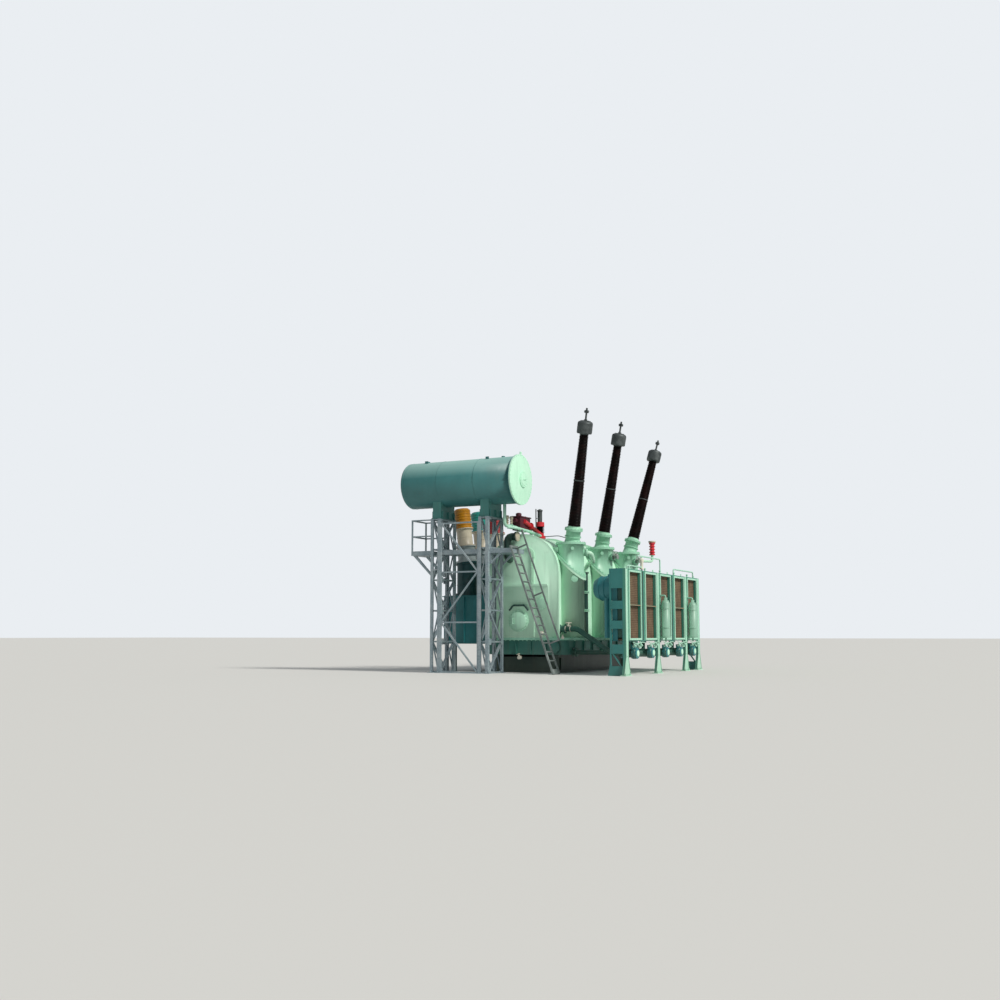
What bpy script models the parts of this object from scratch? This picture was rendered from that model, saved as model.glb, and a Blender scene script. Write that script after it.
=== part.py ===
# Three-phase oil-filled power transformer with a tubular conservator and a bank of forced-oil coolers.
# Metres, +Z up. X runs along the tank, -X is the conservator end and -Y the high-voltage side.
# The origin is the centre of the lower tank's plan, on the ground under the skid.
from math import acos, cos, pi, radians, sin, sqrt, tan

import bmesh
import bpy
from mathutils import Euler, Matrix, Vector

# Clearance between pieces that touch, and how far a welded part reaches into what carries it.
GAP = 0.0003
BITE = 0.02

# Facets round a pipe and round a larger drum.
PIPE_SIDES = 10
ROUND_SIDES = 14
SMALL_SIDES = 8

# Skid under the tank.
SKID_HEIGHT = 0.6
SKID_WIDTH = 0.34
SKID_SPACING = 2.1
SKID_LENGTH = 6.5
SKID_WEB = 0.08
SKID_FLANGE = 0.06
SKID_TIE_WIDTH = 0.22
SKID_TIE_COUNT = 3
SKID_TIE_DROP = 0.08

# Bell tank with a half-round roof.
TANK_HALF_LENGTH = 3.45
TANK_RADIUS = 1.26
TANK_SPRING_Z = 3.33
TANK_ARC_STEPS = 16
ROOF_Z = TANK_SPRING_Z + TANK_RADIUS
RIB_HEIGHT = 0.07
RIB_WIDTH = 0.09
END_BULGE = 0.14
END_INSET = 0.2
END_STEP = 0.03
END_RIB_Z = 2.88
END_RIB_SIZE = 0.06
END_RIB_REACH = 1.0
MANHOLE_RADIUS = 0.37
MANHOLE_RAISED = 0.82
MANHOLE_Y = 0.08
MANHOLE_Z = 1.72
MANHOLE_THICKNESS = 0.06

# Lower tank and the bolted joint of the bell.
LOWER_TANK_HEIGHT = 0.48
LOWER_TANK_HALF_LENGTH = TANK_HALF_LENGTH + 0.05
FRONT_LEDGE = 0.36
REAR_LEDGE = 0.12
LOWER_TANK_FRONT = TANK_RADIUS + FRONT_LEDGE
LOWER_TANK_REAR = TANK_RADIUS + REAR_LEDGE
LOWER_TANK_CORNER = 0.28
CORNER_STEPS = 5
FLANGE_THICKNESS = 0.08
FLANGE_LIP = 0.09
LOBE_STEPS = 6

# High-voltage turrets on the front of the tank.
PHASE_PITCH = 2.65
TURRET_OUTREACH = 0.17
TURRET_Y = -(TANK_RADIUS + TURRET_OUTREACH)
TURRET_RADIUS = 0.45
TURRET_LIP = 0.07
TURRET_SIDES = 24
JOINT_Z = 3.63
JOINT_SLOPE = 0.93
JOINT_FLANGE = 0.07
COVER_Z = 4.36
COVER_THICKNESS = 0.07
NECK_RADIUS = 0.25
NECK_FILLET = 0.04
NECK_START = 0.12
NECK_HEIGHT = 0.49
NECK_FLANGE = 0.06
PORT_Z = 4.02
PORT_RADIUS = 0.11
PORT_REACH = 0.1
PORT_RIM = 0.04
PORT_TURN = (radians(-67.5), radians(-97.5), radians(-112.5))

# High-voltage bushings, leaning out and fanned apart.
LEAN = radians(11.45)
FAN = (radians(-10.07), radians(-3.03), radians(11.32))
FOOT_SHIFT_X = (0.0, 0.0, 0.2)
FOOT_SHIFT_Y = -0.06
PORCELAIN_LENGTH = 3.22
PORCELAIN_FOOT = 0.1
PORCELAIN_FOOT_LIP = 0.04
PORCELAIN_BASE_RADIUS = 0.22
PORCELAIN_TOP_RADIUS = 0.155
SHED_DEPTH = 0.042
SHED_COUNT = 12
SHED_RISE = 0.3
PORCELAIN_SIDES = 12
CAP_RADIUS = 0.26
CAP_HEIGHT = 0.47
CAP_SHARES = ((0.6, 0.0), (0.95, 0.06), (1.0, 0.2), (1.0, 0.75), (0.85, 0.92), (0.4, 1.0))
TERMINAL_RADIUS = 0.032
TERMINAL_LENGTH = 0.42

# Low-voltage side box with its three leaning terminals.
LV_BOX_X = (-3.35, 0.9)
LV_BOX_DEPTH = 1.85
LV_BOX_Z = (0.95, 2.62)
LV_LEG_INSET = (0.25, 0.21)
LV_LEG = 0.14
LV_OUTREACH = 1.17
LV_Y = TANK_RADIUS + LV_OUTREACH
LV_FIRST_X = -2.9
LV_PITCH = 1.25
LV_LEAN = radians(7.0)
LV_TURRET_RADIUS = 0.36
LV_TURRET_HEIGHT = 1.16
LV_FLANGE_LIP = 0.05
LV_FLANGE = 0.06
LV_SKIRT_RADIUS = 0.31
LV_SKIRT_HEIGHT = 0.54
LV_HOUSING_RADIUS = 0.27
LV_HOUSING_HEIGHT = 0.64
LV_HEAD_RADIUS = 0.285
LV_HEAD_HEIGHT = 0.74

# Conservator across the near end.
CONSERVATOR_X = -4.5
CONSERVATOR_Z = 6.37
CONSERVATOR_Y = (-0.46, 3.83)
CONSERVATOR_RADIUS = 0.79
CONSERVATOR_SIDES = 40
FAR_DOME = 0.12
FAR_DOME_STEPS = 3
END_DISC_LIP = 0.055
END_DISC_THICKNESS = 0.05
END_DISH = 0.07
END_DISH_FLAT = 0.4
HATCH_RADIUS = 0.27
HATCH_THICKNESS = 0.035
SADDLE_WIDTH = 0.32
SADDLE_LENGTH = 0.92
SADDLE_PLATE = 0.1
SADDLE_STEPS = 4

# Two lattice towers under it.
TOWER_LENGTH = 1.1
TOWER_DEPTH = 0.37
TOWER_HEIGHT = 5.15
TOWER_Y = (0.48, 2.30)
TOWER_BAYS = 5
LEG = 0.105
LEG_DEPTH = 0.07
LACING = 0.055
SIDE_LACING = 0.035
SIDE_LACING_DEPTH = 0.04
SIDE_LACING_INSET = 0.03
BRACE = 0.05
BRACE_BAYS = 3
BRACE_TOP_DROP = 0.15

# Walkway, its rails and the ladder.
DECK_Z = 4.05
DECK_THICKNESS = 0.12
DECK_INSET = 0.05
DECK_RIGHT_REACH = 0.8
DECK_LEFT_REACH = 0.82
KNEE_BAR = 0.06
KNEE_DROP = 0.8
SMALL_KNEE = (0.5, 0.45, 0.05)
KNEE_INSET = 1.6
KNEE_STRUT = 1.3
RAIL_HEIGHT = 1.1
RAIL_TUBE = 0.045
RAIL_SLIM = 0.95
LADDER_WIDTH = 0.54
LADDER_X = -5.03
LADDER_ANGLE = radians(70.0)
LADDER_STILE = 0.06
LADDER_DEPTH = 0.05
LADDER_RISE = 0.1
RUNG = 0.035
RUNG_PITCH = 0.3
HANDRAIL_OFFSET = 0.36
HANDRAIL_START = 1.0
HANDRAIL_RISE = 0.45
HANDRAIL_SPANS = 2

# Cooler bank.
BANK_FRONT_Y = -4.33
BANK_FRAME_DEPTH = 0.08
BANK_TOP = 3.30
BANK_BOTTOM = 1.06
COOLER_COUNT = 5
COOLER_START_X = -4.98
COOLER_WIDTH = 1.32
COOLER_SPACE = 0.14
COOLER_PITCH = COOLER_WIDTH + COOLER_SPACE
COOLER_DEPTH = 0.25
CORE_INSET = (0.03, 0.02)
PLENUM_DEPTH = 0.17
FRAME_BAR = 0.09
FRAME_SIDE_BAR = 0.165
MID_BAR = 0.04
COLUMN_WIDTH = 0.18
FOOT_WIDTH = 0.5
FOOT_HEIGHT = 0.55
FOOT_PLATE = 0.04
END_FRAME_THICKNESS = 0.06
END_FRAME_REAR_Y = -3.80
END_FRAME_BAR = 0.09
END_FRAME_FOOT = (0.07, 0.38)
END_FRAME_LEVELS = (0.30, 0.68, 0.96, 1.44, 1.69, 2.05, 2.30, 2.69)
DRUM_RADIUS = 0.39
DRUM_LIP = 0.04
DRUM_REACH = 0.78
DRUM_RIM = 0.08
DRUM_RIM_EASE = 0.02
DRUM_TAPER = 0.19
DRUM_MOUTH_RADIUS = 0.29
DRUM_Z = 2.72
COLLECTOR_RADIUS = 0.1
COLLECTOR_X = 0.14
COLLECTOR_SPACE = 0.11
COLLECTOR_Z = (1.16, 2.40)
COLLECTOR_ARM = 0.045
COLLECTOR_ARM_INSET = 0.14
COLLECTOR_SIDES = 6
FILTER_RADIUS = 0.14
FILTER_LIP = 0.03
FILTER_RIM = 0.05
FILTER_SHOULDER = 0.7
FILTER_OUTLET = 0.06
FILTER_SPACE = 0.06
FILTER_OFFSET = 0.19
FILTER_BRACKET = 0.1
FILTER_Z = (1.15, 2.42)

# Oil pipes.
HEADER_RADIUS = 0.1
HEADER_SPACE = 0.31
HEADER_Y = BANK_FRONT_Y + HEADER_SPACE
HEADER_Z = 0.68
HEADER_INSET = 0.14
PUMP_RADIUS = 0.17
PUMP_BODY = 0.8
PUMP_REACH = 0.36
PUMP_TAIL = 0.14
PUMP_COLLAR = (0.16, 0.18)
RISER_RADIUS = 0.07
RISER_INSET = 0.05
STUB_RADIUS = 0.12
STUB_REACH = 0.3
PIPE_FLANGE_LIP = 0.03
PIPE_FLANGE = 0.04
UPPER_PIPE_RADIUS = 0.09
UPPER_PIPE_START = (-3.27, 1.45)
UPPER_PIPE_RUNS = (0.59, 1.94)
UPPER_PIPE_X = -3.64
UPPER_PIPE_EASE = 0.03
UPPER_PIPE_BEND = 0.12
LOWER_PIPE_RADIUS = 0.075
LOWER_PIPE_X = -2.95
TOP_PIPE_RADIUS = 0.055
TOP_PIPE_Y = 0.15
TOP_PIPE_RISE = 0.28
TOP_PIPE_Z = ROOF_Z + TOP_PIPE_RISE
TOP_PIPE_END_X = -2.45
TOP_PIPE_BEND = 0.12
TOP_PIPE_EASE = 0.036

# Gas relay in the top pipe: how far before the pipe's end, its length, width and reach below and above.
RELAY_SPACE = 0.35
RELAY_LENGTH = 0.62
RELAY_WIDTH = 0.26
RELAY_REACH = (0.1, 0.3)

# Pressure relief vent on the near end wall.
VENT_RADIUS = 0.13
VENT_OUTREACH = 0.19
VENT_BEND = 0.15
VENT_BEND_STEPS = 3
VENT_Y = 0.40
VENT_DROP = (0.79, 0.04)
VENT_Z = (ROOF_Z - VENT_DROP[0], ROOF_Z - VENT_DROP[1])
VENT_MOUTH_Y = 0.04
VENT_MOUTH_RADIUS = 0.17
VENT_MOUTH = 0.06

# Neutral bushings: one on the roof, one on an arm of the third turret.
NEUTRAL_X = -2.05
NEUTRAL_SINK = 0.12
NEUTRAL_STEPS = ((0.2, 0.09), (0.13, 0.1), (0.13, 0.2), (0.17, 0.24), (0.11, 0.28), (0.17, 0.34))
NEUTRAL_STEPS += ((0.11, 0.38), (0.15, 0.44), (0.15, 0.58), (0.08, 0.6), (0.08, 1.05))
ARM_TURN = radians(-37.5)
ARM_RADIUS = 0.05
ARM_REACH = 0.72
ARM_Z = 4.06
ARM_RISE = 0.26
ARM_BEND = 0.1
HEAD_STEPS = ((0.11, 0.0), (0.11, 0.05), (0.08, 0.06), (0.12, 0.12), (0.08, 0.17), (0.12, 0.23))
HEAD_STEPS += ((0.08, 0.28), (0.12, 0.34), (0.12, 0.45), (0.14, 0.47), (0.14, 0.55))

LOWER_TANK_Z = SKID_HEIGHT + GAP
FLANGE_Z = SKID_HEIGHT + LOWER_TANK_HEIGHT
BELL_Z = FLANGE_Z + FLANGE_THICKNESS
TOWER_X = CONSERVATOR_X - TOWER_LENGTH / 2


def clear_scene():
    for item in list(bpy.data.objects):
        bpy.data.objects.remove(item, do_unlink=True)


def paint(name, colour, roughness, metallic=0.0):
    """A Principled material of one colour."""
    material = bpy.data.materials.new(name)
    material.use_nodes = True
    shader = material.node_tree.nodes["Principled BSDF"]
    shader.inputs["Base Color"].default_value = (*colour, 1.0)
    shader.inputs["Roughness"].default_value = roughness
    shader.inputs["Metallic"].default_value = metallic
    return material


clear_scene()
GREEN = paint("green_enamel", (0.32, 0.62, 0.48), 0.4)
DARK_GREEN = paint("dark_green_enamel", (0.03, 0.19, 0.17), 0.45)
STEEL = paint("galvanised_steel", (0.42, 0.45, 0.46), 0.5, 0.7)
PORCELAIN = paint("brown_porcelain", (0.02, 0.008, 0.008), 0.2)
CAP_METAL = paint("cast_aluminium", (0.28, 0.3, 0.29), 0.45, 0.6)
CORE_BROWN = paint("finned_tube", (0.14, 0.07, 0.04), 0.7)
AMBER = paint("yellow_enamel", (0.7, 0.3, 0.02), 0.4)
RED = paint("red_enamel", (0.5, 0.02, 0.02), 0.4)
PHASE_GREEN = paint("phase_green_enamel", (0.02, 0.25, 0.08), 0.4)


def finish(name, mesh_builder, material, smooth=None):
    """Turn a bmesh into a named object; smooth is the sharp-edge angle of a round piece."""
    bmesh.ops.recalc_face_normals(mesh_builder, faces=mesh_builder.faces)
    mesh = bpy.data.meshes.new(name)
    mesh_builder.to_mesh(mesh)
    mesh_builder.free()
    mesh.materials.append(material)
    if smooth is not None:
        mesh.shade_smooth()
        mesh.set_sharp_from_angle(angle=radians(smooth))
    piece = bpy.data.objects.new(name, mesh)
    bpy.context.scene.collection.objects.link(piece)
    return piece


def loft(name, rings, material, smooth=None, flat_base=False):
    """Skin rings of equal point count and cap both ends; one flat face can close them all below."""
    builder = bmesh.new()
    loops = [[builder.verts.new(point) for point in ring] for ring in rings]
    for below, above in zip(loops, loops[1:]):
        for index in range(len(below) - flat_base):
            after = (index + 1) % len(below)
            builder.faces.new((below[index], below[after], above[after], above[index]))
    builder.faces.new(loops[0])
    builder.faces.new(loops[-1])
    if flat_base:
        builder.faces.new([loop[0] for loop in loops] + [loop[-1] for loop in reversed(loops)])
    return finish(name, builder, material, smooth)


def circle(radius, height, sides, centre=(0.0, 0.0)):
    """Points of a level circle."""
    return [
        (centre[0] + radius * cos(2 * pi * k / sides), centre[1] + radius * sin(2 * pi * k / sides), height)
        for k in range(sides)
    ]


def turned(name, profile, sides, material, smooth=30.0):
    """Revolve (radius, height) points about Z."""
    return loft(name, [circle(radius, height, sides) for radius, height in profile], material, smooth)


def swept(name, stations, radius, sides, material):
    """Round bar along points; each station is (point, radius or None)."""
    points = [Vector(point) for point, _ in stations]
    rings = []
    side = None
    for index, (point, own_radius) in enumerate(stations):
        ahead = points[min(index + 1, len(points) - 1)]
        behind = points[max(index - 1, 0)]
        into = points[index] - behind
        out = ahead - points[index]
        tangent = (into.normalized() + out.normalized()).normalized()
        if side is None:
            side = tangent.orthogonal().normalized()
        side = (side - tangent * side.dot(tangent)).normalized()
        up = tangent.cross(side)
        size = own_radius or radius
        ring = []
        for k in range(sides):
            angle = 2 * pi * k / sides
            ring.append(points[index] + size * (cos(angle) * side + sin(angle) * up))
        rings.append(ring)
    return loft(name, rings, material, 30.0)


def frame(name, outline, windows, depth, material):
    """A flat plate in local XY with cut-through windows, extruded along local Z."""
    builder = bmesh.new()
    edges = []
    for loop in [outline, *windows]:
        corners = [builder.verts.new((x, y, 0.0)) for x, y in loop]
        for index, corner in enumerate(corners):
            edges.append(builder.edges.new((corner, corners[(index + 1) % len(corners)])))
    bmesh.ops.triangle_fill(builder, edges=edges, use_beauty=True, normal=(0.0, 0.0, 1.0))
    grown = bmesh.ops.extrude_face_region(builder, geom=builder.faces[:])
    top = [item for item in grown["geom"] if isinstance(item, bmesh.types.BMVert)]
    bmesh.ops.translate(builder, verts=top, vec=(0.0, 0.0, depth))
    return finish(name, builder, material)


def box(name, low, high, material):
    """A plain block between two corners."""
    outline = [(low[0], low[1]), (high[0], low[1]), (high[0], high[1]), (low[0], high[1])]
    block = frame(name, outline, [], high[2] - low[2], material)
    block.location.z = low[2]
    return block


def as_cutter(piece):
    piece.hide_render = True
    piece.display_type = "WIRE"
    return piece


def combine(piece, other, operation):
    """Boolean with another object, which becomes a hidden guide."""
    modifier = piece.modifiers.new(f"{operation.lower()}_{other.name}", "BOOLEAN")
    modifier.operation = operation
    modifier.solver = "EXACT"
    modifier.object = as_cutter(other)
    return piece


def rectangle(x0, x1, y0, y1):
    return [(x0, y0), (x1, y0), (x1, y1), (x0, y1)]


def rounded_rectangle(x0, x1, y0, y1, radius, steps=CORNER_STEPS):
    """Plan outline with round corners."""
    centres = [(x1 - radius, y0 + radius, -90), (x1 - radius, y1 - radius, 0)]
    centres += [(x0 + radius, y1 - radius, 90), (x0 + radius, y0 + radius, 180)]
    points = []
    for cx, cy, start in centres:
        for k in range(steps + 1):
            angle = radians(start + 90 * k / steps)
            points.append((cx + radius * cos(angle), cy + radius * sin(angle)))
    return points


# Skid: two I-section bearers joined by cross ties.
def build_skid():
    half = SKID_WIDTH / 2
    web = SKID_WEB / 2
    top = SKID_HEIGHT
    section = [(-half, 0), (half, 0), (half, SKID_FLANGE), (web, SKID_FLANGE)]
    section += [(web, top - SKID_FLANGE), (half, top - SKID_FLANGE), (half, top), (-half, top)]
    section += [(-half, top - SKID_FLANGE), (-web, top - SKID_FLANGE)]
    section += [(-web, SKID_FLANGE), (-half, SKID_FLANGE)]
    bearers = []
    for number, side in enumerate((-1, 1)):
        bearer = frame("skid" if number == 0 else "skid_rear_bearer", section, [], SKID_LENGTH, DARK_GREEN)
        bearer.rotation_euler = (pi / 2, 0, pi / 2)
        bearer.location = (-SKID_LENGTH / 2, side * SKID_SPACING / 2, 0)
        bearers.append(bearer)
    ties = []
    for k in range(SKID_TIE_COUNT):
        x = (k / (SKID_TIE_COUNT - 1) - 0.5) * (SKID_LENGTH - 2 * SKID_TIE_WIDTH)
        low = (x - SKID_TIE_WIDTH / 2, -SKID_SPACING / 2, 0.0)
        high = (x + SKID_TIE_WIDTH / 2, SKID_SPACING / 2, top - SKID_TIE_DROP)
        ties.append(box(f"skid_tie_{k + 1}", low, high, DARK_GREEN))
    for tie in ties:
        combine(bearers[0], tie, "UNION")
    combine(bearers[0], bearers[1], "UNION")


# Lower tank: a shallow tub with round corners.
def build_lower_tank():
    outline = rounded_rectangle(
        -LOWER_TANK_HALF_LENGTH, LOWER_TANK_HALF_LENGTH, -LOWER_TANK_FRONT, LOWER_TANK_REAR, LOWER_TANK_CORNER
    )
    tub = frame("lower_tank", outline, [], LOWER_TANK_HEIGHT - 2 * GAP, DARK_GREEN)
    tub.location.z = LOWER_TANK_Z


# Bolted rim of the bell, with a round lobe in its front edge under each turret.
def build_bell_flange():
    lip = FLANGE_LIP
    outline = rounded_rectangle(
        -LOWER_TANK_HALF_LENGTH - lip,
        LOWER_TANK_HALF_LENGTH + lip,
        -LOWER_TANK_FRONT - lip,
        LOWER_TANK_REAR + lip,
        LOWER_TANK_CORNER + lip,
    )
    radius = TURRET_RADIUS + lip
    set_back = TURRET_Y + LOWER_TANK_FRONT + lip
    if set_back < radius:
        half = acos(set_back / radius)
        for number in range(3):
            x = (number - 1) * PHASE_PITCH
            for k in range(LOBE_STEPS + 1):
                angle = -pi / 2 + half * (2 * k / LOBE_STEPS - 1)
                outline.append((x + radius * cos(angle), TURRET_Y + radius * sin(angle)))
    rim = frame("bell_flange", outline, [], FLANGE_THICKNESS, GREEN)
    rim.location.z = FLANGE_Z


def arch(offset, base_z):
    """Tank section in YZ: straight sides and a half-round roof, grown by offset."""
    radius = TANK_RADIUS + offset
    points = [(-radius, base_z)]
    for k in range(TANK_ARC_STEPS + 1):
        angle = pi - pi * k / TANK_ARC_STEPS
        points.append((radius * cos(angle), TANK_SPRING_Z + radius * sin(angle)))
    points.append((radius, base_z))
    return points


def tank_stations():
    """(x, offset) steps along the bell: bulged ends, rim ribs and two ribs between the phases."""
    half = TANK_HALF_LENGTH
    steps = [(-half - END_BULGE, -END_INSET), (-half, -END_STEP), (-half, RIB_HEIGHT)]
    steps += [(-half + RIB_WIDTH, RIB_HEIGHT), (-half + RIB_WIDTH, 0.0)]
    for side in (-1, 1):
        middle = side * PHASE_PITCH / 2
        steps += [(middle - RIB_WIDTH / 2, 0.0), (middle - RIB_WIDTH / 2, RIB_HEIGHT)]
        steps += [(middle + RIB_WIDTH / 2, RIB_HEIGHT), (middle + RIB_WIDTH / 2, 0.0)]
    steps += [(half - RIB_WIDTH, 0.0), (half - RIB_WIDTH, RIB_HEIGHT)]
    steps += [(half, RIB_HEIGHT), (half, -END_STEP), (half + END_BULGE, -END_INSET)]
    return steps


def build_main_tank():
    rings = [
        [(x, y, z) for y, z in arch(offset, BELL_Z + GAP)]
        for x, offset in tank_stations()
    ]
    bell = loft("main_tank", rings, GREEN, 25.0, True)
    face = TANK_HALF_LENGTH + END_BULGE
    for side in (-1, 1):
        inner = side * (face - BITE)
        outer = side * (face + END_RIB_SIZE - BITE)
        low = (min(inner, outer), -END_RIB_REACH, END_RIB_Z)
        high = (max(inner, outer), END_RIB_REACH, END_RIB_Z + END_RIB_SIZE)
        rib = box(f"end_rib_{'near' if side < 0 else 'far'}", low, high, GREEN)
        combine(bell, rib, "UNION")


def tank_clearance(name):
    """The bell grown by the clearance, to trim what meets its side or roof."""
    rings = [
        [(x, y, z) for y, z in arch(GAP, LOWER_TANK_Z)]
        for x in (-TANK_HALF_LENGTH, TANK_HALF_LENGTH)
    ]
    return loft(name, rings, GREEN)


def build_manhole():
    face_x = -TANK_HALF_LENGTH - END_BULGE - GAP
    thick = MANHOLE_THICKNESS
    inner = MANHOLE_RADIUS * MANHOLE_RAISED
    profile = [(MANHOLE_RADIUS, 0.0), (MANHOLE_RADIUS, thick / 2), (inner, thick / 2), (inner, thick)]
    cover = turned("manhole_cover", profile, TANK_ARC_STEPS, GREEN)
    cover.rotation_euler = (0, -pi / 2, 0)
    cover.location = (face_x, MANHOLE_Y, MANHOLE_Z)


def slope_ring(centre, radius, height, slope, sides):
    """A circle in plan whose height rises with Y by the given slope."""
    return [(x, y, height + slope * (y - centre[1])) for x, y, _ in circle(radius, 0.0, sides, centre)]


def joint_ring(x, radius, offset):
    """A ring of the slanted turret joint."""
    return slope_ring((x, TURRET_Y), radius, JOINT_Z + offset, JOINT_SLOPE, TURRET_SIDES)


def level_ring(centre, radius, height):
    return circle(radius, height, TURRET_SIDES, centre)


def bushing_tilt(number):
    return Euler((LEAN, FAN[number], 0.0)).to_matrix()


def bushing_foot(number):
    return Vector(((number - 1) * PHASE_PITCH + FOOT_SHIFT_X[number], TURRET_Y + FOOT_SHIFT_Y, COVER_Z))


def tilted_ring(number, radius, height):
    """A circle square to the bushing's own axis."""
    tilt = bushing_tilt(number)
    return [bushing_foot(number) + tilt @ Vector(point) for point in circle(radius, height, TURRET_SIDES)]


# Half-round bay of the tank that carries the turret.
def build_turret_lower(number, trim):
    x = (number - 1) * PHASE_PITCH
    outer = TURRET_RADIUS + TURRET_LIP
    rings = [
        level_ring((x, TURRET_Y), TURRET_RADIUS, BELL_Z + GAP),
        joint_ring(x, TURRET_RADIUS, -GAP - JOINT_FLANGE),
        joint_ring(x, outer, -GAP - JOINT_FLANGE),
        joint_ring(x, outer, -GAP),
    ]
    bay = loft(f"hv_turret_lower_{number + 1}", rings, GREEN, 30.0)
    combine(bay, trim, "DIFFERENCE")


# Turret with its slanted joint, side port, cover and tilted neck.
def build_turret_upper(number, trim):
    x = (number - 1) * PHASE_PITCH
    axis = (x, TURRET_Y)
    foot = bushing_foot(number)
    outer = TURRET_RADIUS + TURRET_LIP
    rim = NECK_RADIUS + NECK_FLANGE
    rings = [
        joint_ring(x, outer, 0.0),
        joint_ring(x, outer, JOINT_FLANGE),
        joint_ring(x, TURRET_RADIUS, JOINT_FLANGE),
        level_ring(axis, TURRET_RADIUS, COVER_Z - COVER_THICKNESS),
        level_ring(axis, outer, COVER_Z - COVER_THICKNESS),
        level_ring(axis, outer, COVER_Z),
        level_ring(foot.xy, NECK_RADIUS + NECK_FILLET, COVER_Z),
        tilted_ring(number, NECK_RADIUS, NECK_START),
        tilted_ring(number, NECK_RADIUS, NECK_HEIGHT - NECK_FLANGE),
        tilted_ring(number, rim, NECK_HEIGHT - NECK_FLANGE),
        tilted_ring(number, rim, NECK_HEIGHT),
    ]
    turret = loft(f"hv_turret_upper_{number + 1}", rings, GREEN, 30.0)
    reach = TURRET_RADIUS + PORT_REACH
    profile = [(PORT_RADIUS, TURRET_RADIUS / 2), (PORT_RADIUS, reach - PORT_RIM)]
    profile += [(PORT_RADIUS + PORT_RIM, reach - PORT_RIM), (PORT_RADIUS + PORT_RIM, reach)]
    port = turned(f"port_{number + 1}", profile, SMALL_SIDES, GREEN)
    port.rotation_euler = (0, pi / 2, PORT_TURN[number])
    port.location = (x, TURRET_Y, PORT_Z)
    combine(turret, port, "UNION")
    combine(turret, trim, "DIFFERENCE")


def shed_profile():
    """Tapered porcelain with sloping sheds, from the foot up."""
    lip = PORCELAIN_BASE_RADIUS + PORCELAIN_FOOT_LIP
    profile = [(lip, 0.0), (lip, PORCELAIN_FOOT)]
    step = (PORCELAIN_LENGTH - PORCELAIN_FOOT) / SHED_COUNT
    for k in range(SHED_COUNT):
        tip = PORCELAIN_BASE_RADIUS + (PORCELAIN_TOP_RADIUS - PORCELAIN_BASE_RADIUS) * k / SHED_COUNT
        height = PORCELAIN_FOOT + k * step
        profile += [(tip - SHED_DEPTH, height), (tip, height + SHED_RISE * step)]
    profile.append((PORCELAIN_TOP_RADIUS - SHED_DEPTH, PORCELAIN_LENGTH))
    return profile


def cap_profile():
    """Expansion head with a rounded shoulder and the terminal stud, from the foot up."""
    r = CAP_RADIUS
    h = CAP_HEIGHT
    profile = [(r * wide, h * high) for wide, high in CAP_SHARES]
    return profile + [(TERMINAL_RADIUS, h), (TERMINAL_RADIUS, h + TERMINAL_LENGTH)]


def build_hv_bushing(number):
    tilt = Euler((LEAN, FAN[number], 0.0))
    axis = bushing_tilt(number) @ Vector((0, 0, 1))
    body = turned(f"hv_porcelain_{number + 1}", shed_profile(), PORCELAIN_SIDES, PORCELAIN)
    body.rotation_euler = tilt
    body.location = bushing_foot(number) + axis * (NECK_HEIGHT + GAP)
    cap = turned(f"hv_cap_{number + 1}", cap_profile(), PORCELAIN_SIDES, CAP_METAL)
    cap.rotation_euler = tilt
    cap.location = body.location + axis * (PORCELAIN_LENGTH + GAP)


# Low-voltage box on the rear wall, standing on two legs.
def build_lv_box():
    low = (LV_BOX_X[0], TANK_RADIUS + GAP, LV_BOX_Z[0])
    high = (LV_BOX_X[1], TANK_RADIUS + LV_BOX_DEPTH, LV_BOX_Z[1])
    body = box("lv_side_box", low, high, DARK_GREEN)
    rim = box(
        "lv_rim_clearance",
        (-LOWER_TANK_HALF_LENGTH, 0.0, LOWER_TANK_Z),
        (LOWER_TANK_HALF_LENGTH, LOWER_TANK_REAR + FLANGE_LIP + GAP, BELL_Z + GAP),
        DARK_GREEN,
    )
    combine(body, rim, "DIFFERENCE")
    ribs = tank_rib_clearance("lv_rib_clearance")
    combine(body, ribs, "DIFFERENCE")
    for number, x in enumerate((low[0] + LV_LEG_INSET[0], high[0] - LV_LEG_INSET[0])):
        y = high[1] - LV_LEG_INSET[1]
        leg_low = (x - LV_LEG / 2, y - LV_LEG, 0.0)
        leg_high = (x + LV_LEG / 2, y, low[2] + BITE)
        combine(body, box(f"lv_leg_{number + 1}", leg_low, leg_high, DARK_GREEN), "UNION")


def tank_rib_clearance(name):
    """The ribs between the phases and at the ends, grown by the clearance."""
    rings = []
    grown = RIB_HEIGHT + GAP
    half = TANK_HALF_LENGTH
    reach = RIB_WIDTH / 2 + GAP
    marks = [-half + RIB_WIDTH / 2, -PHASE_PITCH / 2, PHASE_PITCH / 2, half - RIB_WIDTH / 2]
    for mark in marks:
        for x, offset in (
            (mark - reach, -RIB_WIDTH),
            (mark - reach, grown),
            (mark + reach, grown),
            (mark + reach, -RIB_WIDTH),
        ):
            rings.append([(x, y, z) for y, z in arch(offset, LOWER_TANK_Z)])
    return loft(name, rings, GREEN, None, True)


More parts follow.
